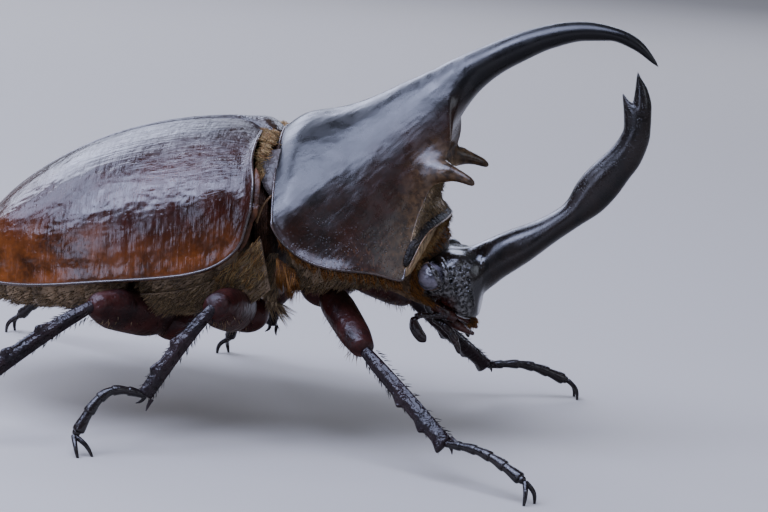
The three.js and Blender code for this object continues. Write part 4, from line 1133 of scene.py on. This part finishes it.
head_finish = finish("head_shell", head_colour, head_relief, even(0.13, 0.22), 0.85)
head_mesh = closed_rings(head_place, 0, HEAD_HORN_STATION, (14.6, 0, -1), (23.8, 0, -0.8), 260, 150)
for side, _ in SIDES:
    pull(head_mesh, mirrored(BROW_ROOT, side), mirrored(BROW_TIP, side), 2.2, 1.6, 0.6)
dimpled(head_mesh, on_cheek, 0.5, 0.2, 0.19, 3)
settle(head_mesh, "head", head_finish, "black_shell")


def horn_grain(place):
    """Grain on the horn's inner face, fading towards the root and the outer face."""
    x, y, z = parts_of(place)
    inner = ramp(x * 0.75 - z, 19.5, 15.5) * ramp(z, 4.0, 9.0)
    pitted = punctures(place, 3.6, 0.4, 0.035) * inner
    return pitted + noise(place, 5.0, 3.0) * 0.012 + noise(place, 0.6, 2.0) * 0.04


head_horn_finish = finish("head_horn_shell", head_black(0.4), horn_grain, even(0.2, 0.32), 0.55)
head_horn = closed_rings(head_place, HEAD_HORN_STATION, len(HEAD) - 1, (22.6, 0, -1.4), (40.62, 0, 22.4), 80,
                         260)
pull(head_horn, (39.75, 0, 17.3), (39.0, 0, 19.85), 1.7, 1.7, 0.15, 1)
settle(head_horn, "head_horn", head_horn_finish, "horn")

# ---- eyes ------------------------------------------------------------------------------------------------
# Glossy dark globes half sunk in the sides of the head, each crossed by a narrow ridge, the canthus.
EYE_RADIUS, SOCKET_RADIUS = 1.55, 1.52
CANTHUS = ((18.4, 4.9, 1.0), (19.1, 6.6, 1.2), (19.7, 7.5, 0.2), (19.8, 7.4, -0.9), (19.3, 7.0, -1.9),
           (18.3, 6.4, -2.5))
BRACE = ((17.7, 7.9, 1.15), (18.3, 8.45, 0.7), (18.85, 8.55, -0.2), (19.15, 8.0, -1.3), (19.1, 7.4, -1.9))


def ball(centre, radii, around=48, along=32):
    """A closed globe with a radius for each axis."""
    def place(u, v):
        turn, rise = 2 * np.pi * u, np.pi * (v - 0.5)
        way = np.stack([np.cos(turn) * np.cos(rise), np.sin(turn) * np.cos(rise), np.sin(rise)], 1)
        return np.array(centre, float) + way * radii
    return skin(place, around, along)


def eye_relief(place):
    """The fine lens pattern, on a globe that isn't quite even."""
    return punctures(place, 9.0, 0.5, 0.006) + noise(place, 0.8, 2.0) * 0.42


# The lens is dark; the lilac grey towards which its mottle lightens is painted reflection.
eye_finish = finish("eye_lens", lambda place: mottle(place, 0.8, (0.018, 0.016, 0.022), (0.20, 0.18, 0.22)),
                    eye_relief, even(0.1, 0.2), 1.0)
turns = np.radians(np.linspace(95, 330, 24))
socket = np.stack([EYE[0] + SOCKET_RADIUS * np.cos(turns), 0 * turns + 7.0,
                   EYE[2] + SOCKET_RADIUS * np.sin(turns)], 1)
for side, name in SIDES:
    settle(ball(mirrored(EYE, side), (EYE_RADIUS,) * 3), f"eye_{name}", eye_finish, "eye")
    detail(limb(mirrored(CANTHUS, side), ((0, 0.5), (0.5, 0.36), (1, 0.25)),
                ((0, 0.45), (0.5, 0.3), (1, 0.2)), (0, 1, 0.4), 20, 60), f"canthus_{name}", head_finish,
           "black_shell")
    detail(limb(mirrored(BRACE, side), ((0, 0.12), (0.4, 0.3), (1, 0.2)), ((0, 0.1), (0.4, 0.22), (1, 0.15)),
                (0.8, 0.3, 0.5), 16, 60), f"eye_brace_{name}", head_finish, "black_shell")
    detail(tube(mirrored(socket, side), 0.14, 120, 12), f"socket_{name}", strut_shell, "black_shell")

# ---- mouth and feelers -----------------------------------------------------------------------------------
# Below the head hang the feelers, each an elbow that ends in a club of three leaves, the jointed palps, and
# the short red-brown jaws between a pair of bristly lobes.
mouth_finish = chitin("mouth_shell", (0.008, 0.003, 0.003), (0.06, 0.014, 0.008), (3.0, 0.3, 0.02),
                      (1.2, 0.04), (0.18, 0.3), 0.6)
feeler_finish = chitin("feeler_shell", (0.005, 0.003, 0.004), (0.022, 0.009, 0.008), (3.5, 0.3, 0.01),
                       (1.2, 0.01), (0.14, 0.24), 0.7)
FUNICLE = ((19.6, 4.5, -5.4), (18.6, 4.9, -5.3), (17.7, 5.4, -5.3), (16.9, 6.2, -5.1), (16.2, 6.9, -5.2))
FUNICLE_SIZE = ((0, 0.5), (0.3, 0.46), (0.45, 0.3), (0.8, 0.34), (1, 0.42))
CLUB_LEAF = ((16.0, 7.0, -5.2), (16.25, 7.05, -6.5), (17.35, 7.0, -7.95))
PALP = ((17.9, 3.9, -5.9), (18.9, 4.4, -6.4), (20.1, 4.6, -7.6), (21.0, 4.8, -9.8))
JAW = ((19.2, 2.5, -6.0), (20.8, 2.7, -7.0), (22.3, 1.8, -8.0))
LOBE = ((17.9, 4.3, -4.2), (19.1, 4.3, -5.0), (20.4, 3.7, -5.9))


def beaded(count, deep):
    """Relief of a limb of count segments, nipped in at each joint."""
    return lambda u, v: -deep * np.abs(np.cos(np.pi * np.clip(v * count, 0, count))) ** 14


for side, name in SIDES:
    settle(limb(mirrored(FUNICLE, side), FUNICLE_SIZE, FUNICLE_SIZE, (0, 0, 1), 20, 110, beaded(7, 0.08)),
           f"funicle_{name}", feeler_finish, "mouth")
    leaves = [limb(mirrored(np.array(CLUB_LEAF) + (0.10 * leaf, 0.40 * leaf, 0.0), side),
                   ((0, 0.3), (0.45, 0.68), (0.8, 0.62), (1, 0.4)), ((0, 0.2), (0.5, 0.3), (1, 0.2)),
                   (1, 0, 0), 20, 40, ends=(0.08, 0.2)) for leaf in (-1, 0, 1)]
    settle(joined(*leaves), f"club_{name}", feeler_finish, "mouth")
    settle(limb(mirrored(PALP, side), ((0, 0.4), (0.3, 0.5), (0.62, 0.5), (0.9, 0.34), (1, 0.16)),
                ((0, 0.4), (0.3, 0.45), (0.62, 0.45), (0.9, 0.3), (1, 0.16)), (0, 1, 0), 20, 90,
                beaded(4, 0.07)), f"palp_{name}", feeler_finish, "mouth")
    settle(limb(mirrored(JAW, side), ((0, 0.9), (0.6, 0.65), (1, 0.25)), ((0, 0.8), (0.6, 0.45), (1, 0.2)),
                (0, 1, 0), 28, 60), f"mandible_{name}", mouth_finish, "mouth")
    detail(limb(mirrored(LOBE, side), ((0, 0.8), (0.5, 0.85), (1, 0.5)), ((0, 0.7), (0.5, 0.75), (1, 0.45)),
                (0, 1, 0), 28, 40), f"maxilla_{name}", mouth_finish, "mouth")
    strands(np.random.default_rng(41), side, "lip_fringe", 160, WHOLE, BOTH_WAYS,
            lambda a, b: (22.3 - 0.9 * a, 0.4 + 1.8 * a, -6.5 - 0.6 * a + 0.2 * b), (0.4, 0.1, -0.85),
            (0.5, 0.9), halved, orange_hair, 0.045, 0.05, 0.2, 42)

# ---- legs ------------------------------------------------------------------------------------------------
# Six legs of dark red-brown chitin. Each is a round coxa in the belly, a stout thigh, a ridged shin with
# teeth along its outer edge and spurs at its end, a foot of five small joints, and a pair of hooked claws
# that stand flat on the floor.
LEGS = {  # hip, knee, ankle, toe, and where the claws' tips stand
    "right_front": ((5.8, -6.6, -1.9), (11.4, -14.9, -7.4), (21.5, -21.6, -16.4), (30.0, -26.2, -18.7),
                    (31.1, -27.0)),
    "right_middle": ((-3.2, -7.4, -5.2), (-4.5, -19.4, -2.1), (-11.8, -23.0, -11.7), (-18.3, -26.9, -14.8),
                     (-17.3, -28.0)),
    "right_hind": ((-11.6, -7.4, -6.2), (-18.0, -20.0, -2.2), (-29.3, -27.3, -9.6), (-36.7, -31.2, -13.4),
                   (-38.4, -32.0)),
    "left_front": ((5.8, 6.6, -1.9), (12.4, 14.4, -6.8), (21.4, 21.6, -16.8), (30.4, 25.4, -18.9),
                   (32.0, 25.9)),
    "left_middle": ((-3.2, 7.4, -5.2), (-2.4, 19.4, -2.2), (-6.2, 24.4, -12.8), (-12.2, 29.0, -15.4),
                    (-13.4, 30.2)),
    "left_hind": ((-11.6, 7.4, -6.2), (-19.6, 19.2, -2.2), (-31.6, 25.2, -9.6), (-39.2, 28.6, -13.2),
                  (-41.0, 29.4)),
}
LEG_BUILD = {
    "front": {"coxa": 2.9, "femur": (2.1, 1.8), "tibia": 0.8, "tip": 0.95, "bulge": 0.0, "bow": 0.9,
              "teeth": (0.5, 0.76, 0.97), "edge": (-0.55, -0.35, -0.5)},
    "middle": {"coxa": 2.6, "femur": (2.6, 2.0), "tibia": 0.75, "tip": 0.9, "bulge": 0.35, "bow": 2.4,
               "teeth": (0.45, 0.74), "edge": (-0.75, -0.5, 0.4)},
    "hind": {"coxa": 2.8, "femur": (2.7, 1.9), "tibia": 0.8, "tip": 1.0, "bulge": 0.3, "bow": 0.8,
             "teeth": (0.42, 0.72), "edge": (-0.45, -0.5, 0.75)},
}
TARSUS_RADIUS, TARSUS_JOINTS = 0.5, 5
CLAW_RADIUS, CLAW_SPLAY, CLAW_SINK = 0.32, 0.9, 0.22
CLAW_CUT = 0.00002  # the height above the floor, in metres, at which the claws are cut flat
thigh_finish = chitin("thigh_shell", (0.012, 0.004, 0.004), (0.055, 0.012, 0.009), (1.6, 0.3, 0.03),
                      (0.6, 0.04), (0.28, 0.44), 0.32)
shin_finish = chitin("shin_shell", (0.005, 0.003, 0.005), (0.022, 0.010, 0.012), (1.4, 0.36, 0.06),
                     (0.8, 0.08), (0.22, 0.36), 0.42)
foot_finish = chitin("foot_shell", (0.004, 0.003, 0.004), (0.014, 0.008, 0.008), (2.6, 0.3, 0.02),
                     (1.0, 0.02), (0.16, 0.28), 0.6)


def floor_height(x):
    """The floor's height in the body's own frame."""
    return (-BODY_ORIGIN.z / MM - x * math.sin(PITCH)) / math.cos(PITCH)


def unit(way):
    way = np.array(way, float)
    return way / np.linalg.norm(way)


def leg(name, joints, build):
    hip, knee, ankle, toe = (np.array(joint, float) for joint in joints[:4])
    thigh_way, shin_way = unit(knee - hip), unit(ankle - knee)
    bend = unit(np.cross(thigh_way, shin_way))
    wide, deep = build["femur"]
    knee_radius = 0.72 * deep

    coxa = build["coxa"]
    settle(ball(hip, (coxa, coxa * 0.95, coxa * 0.85)), f"coxa_{name}", thigh_finish, "leg_shell")
    thigh = limb((hip, hip + (knee - hip) * 0.5 + bend * 0.01, knee + thigh_way * 0.5),
                 ((0, wide * 0.55), (0.35, wide), (0.7, wide * 0.95), (0.93, knee_radius * 1.15),
                  (1, knee_radius * 0.8)),
                 ((0, deep * 0.55), (0.35, deep), (0.7, deep * 0.95), (0.93, knee_radius),
                  (1, knee_radius * 0.8)),
                 np.cross(bend, thigh_way), 48, 90, ends=(0.05, 0.06))
    settle(thigh, f"femur_{name}", thigh_finish, "leg_shell")

    edge = np.array(build["edge"]) * (1, 1 if hip[1] < 0 else -1, 1)
    outward = unit(edge - edge.dot(shin_way) * shin_way)
    elbow = knee + (ankle - knee) * 0.22 + np.array([0, 0, build["bulge"]])
    shin_path = path((knee, elbow, ankle))
    tibia, tip = build["tibia"], build["tip"]

    def ridges(u, v):
        """Five blunt keels along the shin, fading at both ends."""
        return 0.08 * np.cos(2 * np.pi * u * 5) * np.sin(np.pi * v)
    shin = limb((knee, elbow, ankle), ((0, tibia * 0.8), (0.2, tibia), (0.9, tip), (1, tip * 0.95)),
                ((0, tibia * 0.75), (0.2, tibia * 0.85), (1, tibia * 0.85)), outward, 56, 150, ridges,
                (0.03, 0.03))
    tooth_way = unit(0.75 * outward + 0.65 * shin_way)
    for share in build["teeth"]:
        at = shin_path(share) + outward * tibia * 0.95
        pull(shin, at, at + tooth_way * tibia * 0.95, 1.0, 1.5, 0.1, 1)
    spurs = []
    for way in (-1, 1):
        start = ankle - shin_way * 0.3 - outward * 0.5 + bend * 0.45 * way
        spurs.append(limb((start, start + shin_way * 0.8 - outward * 0.1,
                           start + shin_way * 1.5 + bend * 0.3 * way),
                          ((0, 0.26), (0.5, 0.2), (1, 0.05)), ((0, 0.24), (0.5, 0.17), (1, 0.05)), outward,
                          14, 24))
    settle(joined(shin, *spurs), f"tibia_{name}", shin_finish, "leg_shell")

    rng = np.random.default_rng(51)
    share = rng.uniform(0.06, 0.97, 150)
    around = rng.integers(0, 5, 150) * 0.4 * np.pi + rng.normal(0, 0.12, 150)
    off = np.cos(around)[:, None] * outward + np.sin(around)[:, None] * bend
    coat(f"bristles_{name}", shin_path(share) + off * tibia * 0.9, off * 0.55 + shin_way, (0.45, 1.0),
         np.stack([around / (2 * np.pi) % 1, share], 1), bristle, 0.05, 0.0, 0.12, 52)
    share, around = rng.uniform(0.12, 0.95, 90), rng.normal(0, 0.5, 90)
    under = unit(np.array([0, 0, -1]) - thigh_way * -thigh_way[2])
    off = np.cos(around)[:, None] * under + np.sin(around)[:, None] * np.cross(under, thigh_way)
    coat(f"thigh_fringe_{name}", hip + (knee - hip) * share[:, None] + off * deep * 0.86,
         off * 0.7 + thigh_way * 0.6, (0.6, 1.3), np.stack([around / 4 + 0.5, share], 1), brown_hair,
         0.04, 0.05, 0.15, 53)

    start = ankle + unit(toe - ankle) * 0.1 - shin_way * 0.2
    middle = start + (toe - start) * 0.5 + np.array([0, 0, build["bow"]])
    foot_path = path((start, middle, toe))
    parts = []
    for joint in range(TARSUS_JOINTS):
        near, far = joint / TARSUS_JOINTS, (joint + 1) / TARSUS_JOINTS
        beyond = 0.03 if joint == TARSUS_JOINTS - 1 else 0.012
        stout = TARSUS_RADIUS * (1.0 + 0.08 * joint)
        width = ((0, stout * 0.78), (0.3, stout * 0.85), (0.85, stout * 1.08), (1, stout * 0.95))
        parts.append(limb(foot_path(np.linspace(max(near - 0.03, 0), far + beyond, 4)), width, width, bend,
                          20, 36, ends=(0.08, 0.1)))
    settle(joined(*parts), f"tarsus_{name}", foot_finish, "leg_shell")

    grip = np.array([*joints[4], floor_height(joints[4][0]) - CLAW_SINK])
    toe_way = unit(toe - middle)
    root = toe + toe_way * 0.8
    sideways = unit(np.cross(grip - toe, (0, 0, 1)))
    taper = ((0, CLAW_RADIUS), (0.6, CLAW_RADIUS * 0.75), (1, 0.12))
    hooks = [limb((toe - toe_way * 0.3, root), ((0, 0.45), (1, 0.5)), ((0, 0.45), (1, 0.5)), bend, 20, 16,
                  ends=(0.3, 0.4))]
    for way in (-1, 1):
        splay = sideways * way * CLAW_SPLAY
        bow_out = root + (grip - root) * 0.45 + (grip - toe) * (0.3, 0.3, 0) + splay * 0.75
        hooks.append(limb((root, bow_out, grip + splay), taper, taper, (0, 1, 0.1), 20, 40))
    claws = joined(*hooks)
    claws.transform(TO_FRAME)
    bmesh.ops.bisect_plane(claws, geom=claws.verts[:] + claws.edges[:] + claws.faces[:],
                           plane_co=(0, 0, CLAW_CUT), plane_no=(0, 0, -1), clear_outer=True)
    bmesh.ops.holes_fill(claws, edges=[edge for edge in claws.edges if edge.is_boundary])
    claws.transform(TO_FRAME.inverted())
    settle(claws, f"claws_{name}", foot_finish, "leg_shell")


for name, joints in LEGS.items():
    leg(name, joints, LEG_BUILD[name.split("_")[1]])

# ---- floor, light and camera -----------------------------------------------------------------------------
# A plain pale floor and soft cool daylight: three broad lights overhead make the sheens on the shell, two
# behind the beetle light its upper outline, and two dim ones fill in low and in front. The camera stands a
# little ahead of the beetle's right side and looks slightly down.
FLOOR_SIZE = 4.0
floor_mesh = bmesh.new()
bmesh.ops.create_grid(floor_mesh, x_segments=1, y_segments=1, size=FLOOR_SIZE / 2)
floor_data = bpy.data.meshes.new("floor")
floor_mesh.to_mesh(floor_data)
floor_mesh.free()
floor = bpy.data.objects.new("floor", floor_data)
bpy.context.scene.collection.objects.link(floor)
paint = bpy.data.materials.new("floor")
paint.use_nodes = True
paint_inputs = paint.node_tree.nodes["Principled BSDF"].inputs
paint_inputs["Base Color"].default_value = (0.46, 0.43, 0.38, 1.0)
paint_inputs["Roughness"].default_value = 0.9
paint_inputs["Specular IOR Level"].default_value = 0.1
floor_data.materials.append(paint)

for name, place, aim, size, level, colour in (
    ("overhead", (-0.06, -0.15, 0.42), (-0.05, -0.12, 0.0), (0.38, 0.34), 8.0, (0.60, 0.67, 1.0)),
    ("side", (-0.33, -0.20, 0.42), (-0.25, -0.12, 0.0), (0.28, 0.32), 7.8, (0.60, 0.67, 1.0)),
    ("rear", (-0.48, 0.12, 0.42), (-0.3, 0.08, 0.0), (0.28, 0.34), 5.6, (0.60, 0.67, 1.0)),
    ("behind", (-0.31, 0.42, 0.36), (0.0, 0.0, 0.02), (0.32, 0.26), 7.6, (0.66, 0.72, 1.0)),
    ("rim", (-0.05, 0.50, 0.185), (0.0, 0.0, 0.02), (0.90, 0.11), 4.0, (0.70, 0.76, 1.0)),
    ("low", (-0.19, -0.36, 0.16), (-0.01, 0.0, 0.01), (0.12, 0.16), 4.6, (0.62, 0.68, 1.0)),
    ("front", (0.40, -0.22, 0.24), (0.02, 0.0, 0.02), (0.20, 0.20), 1.6, (0.80, 0.86, 1.0)),
):
    lamp = bpy.data.lights.new(name, "AREA")
    lamp.shape = "RECTANGLE"
    lamp.size, lamp.size_y = size
    lamp.energy = level * math.pi * size[0] * size[1]  # gives a softbox of that size that brightness
    lamp.color = colour
    box = bpy.data.objects.new(name, lamp)
    box.location = place
    box.rotation_euler = (Vector(aim) - Vector(place)).to_track_quat("-Z", "Y").to_euler()
    bpy.context.scene.collection.objects.link(box)

world = bpy.data.worlds.new("studio")
world.use_nodes = True
world.node_tree.nodes["Background"].inputs["Color"].default_value = (0.75, 0.8, 0.85, 1.0)
world.node_tree.nodes["Background"].inputs["Strength"].default_value = 0.15
bpy.context.scene.world = world

CAMERA_AT = Vector((59.36, -339.69, 61.01))
AZIMUTH, ELEVATION = math.radians(8), math.radians(10)
back = Vector((math.sin(AZIMUTH) * math.cos(ELEVATION), -math.cos(AZIMUTH) * math.cos(ELEVATION),
               math.sin(ELEVATION)))
right = Vector((math.cos(AZIMUTH), math.sin(AZIMUTH), 0))
turn = Matrix((right, back.cross(right), back)).transposed().to_4x4()
lens = bpy.data.cameras.new("camera")
lens.lens = 141.09
lens.sensor_width = 36
lens.clip_start = 0.01
camera = bpy.data.objects.new("camera", lens)
camera.matrix_world = Matrix.Translation(TO_FRAME @ CAMERA_AT) @ lean @ turn
bpy.context.scene.collection.objects.link(camera)
bpy.context.scene.camera = camera
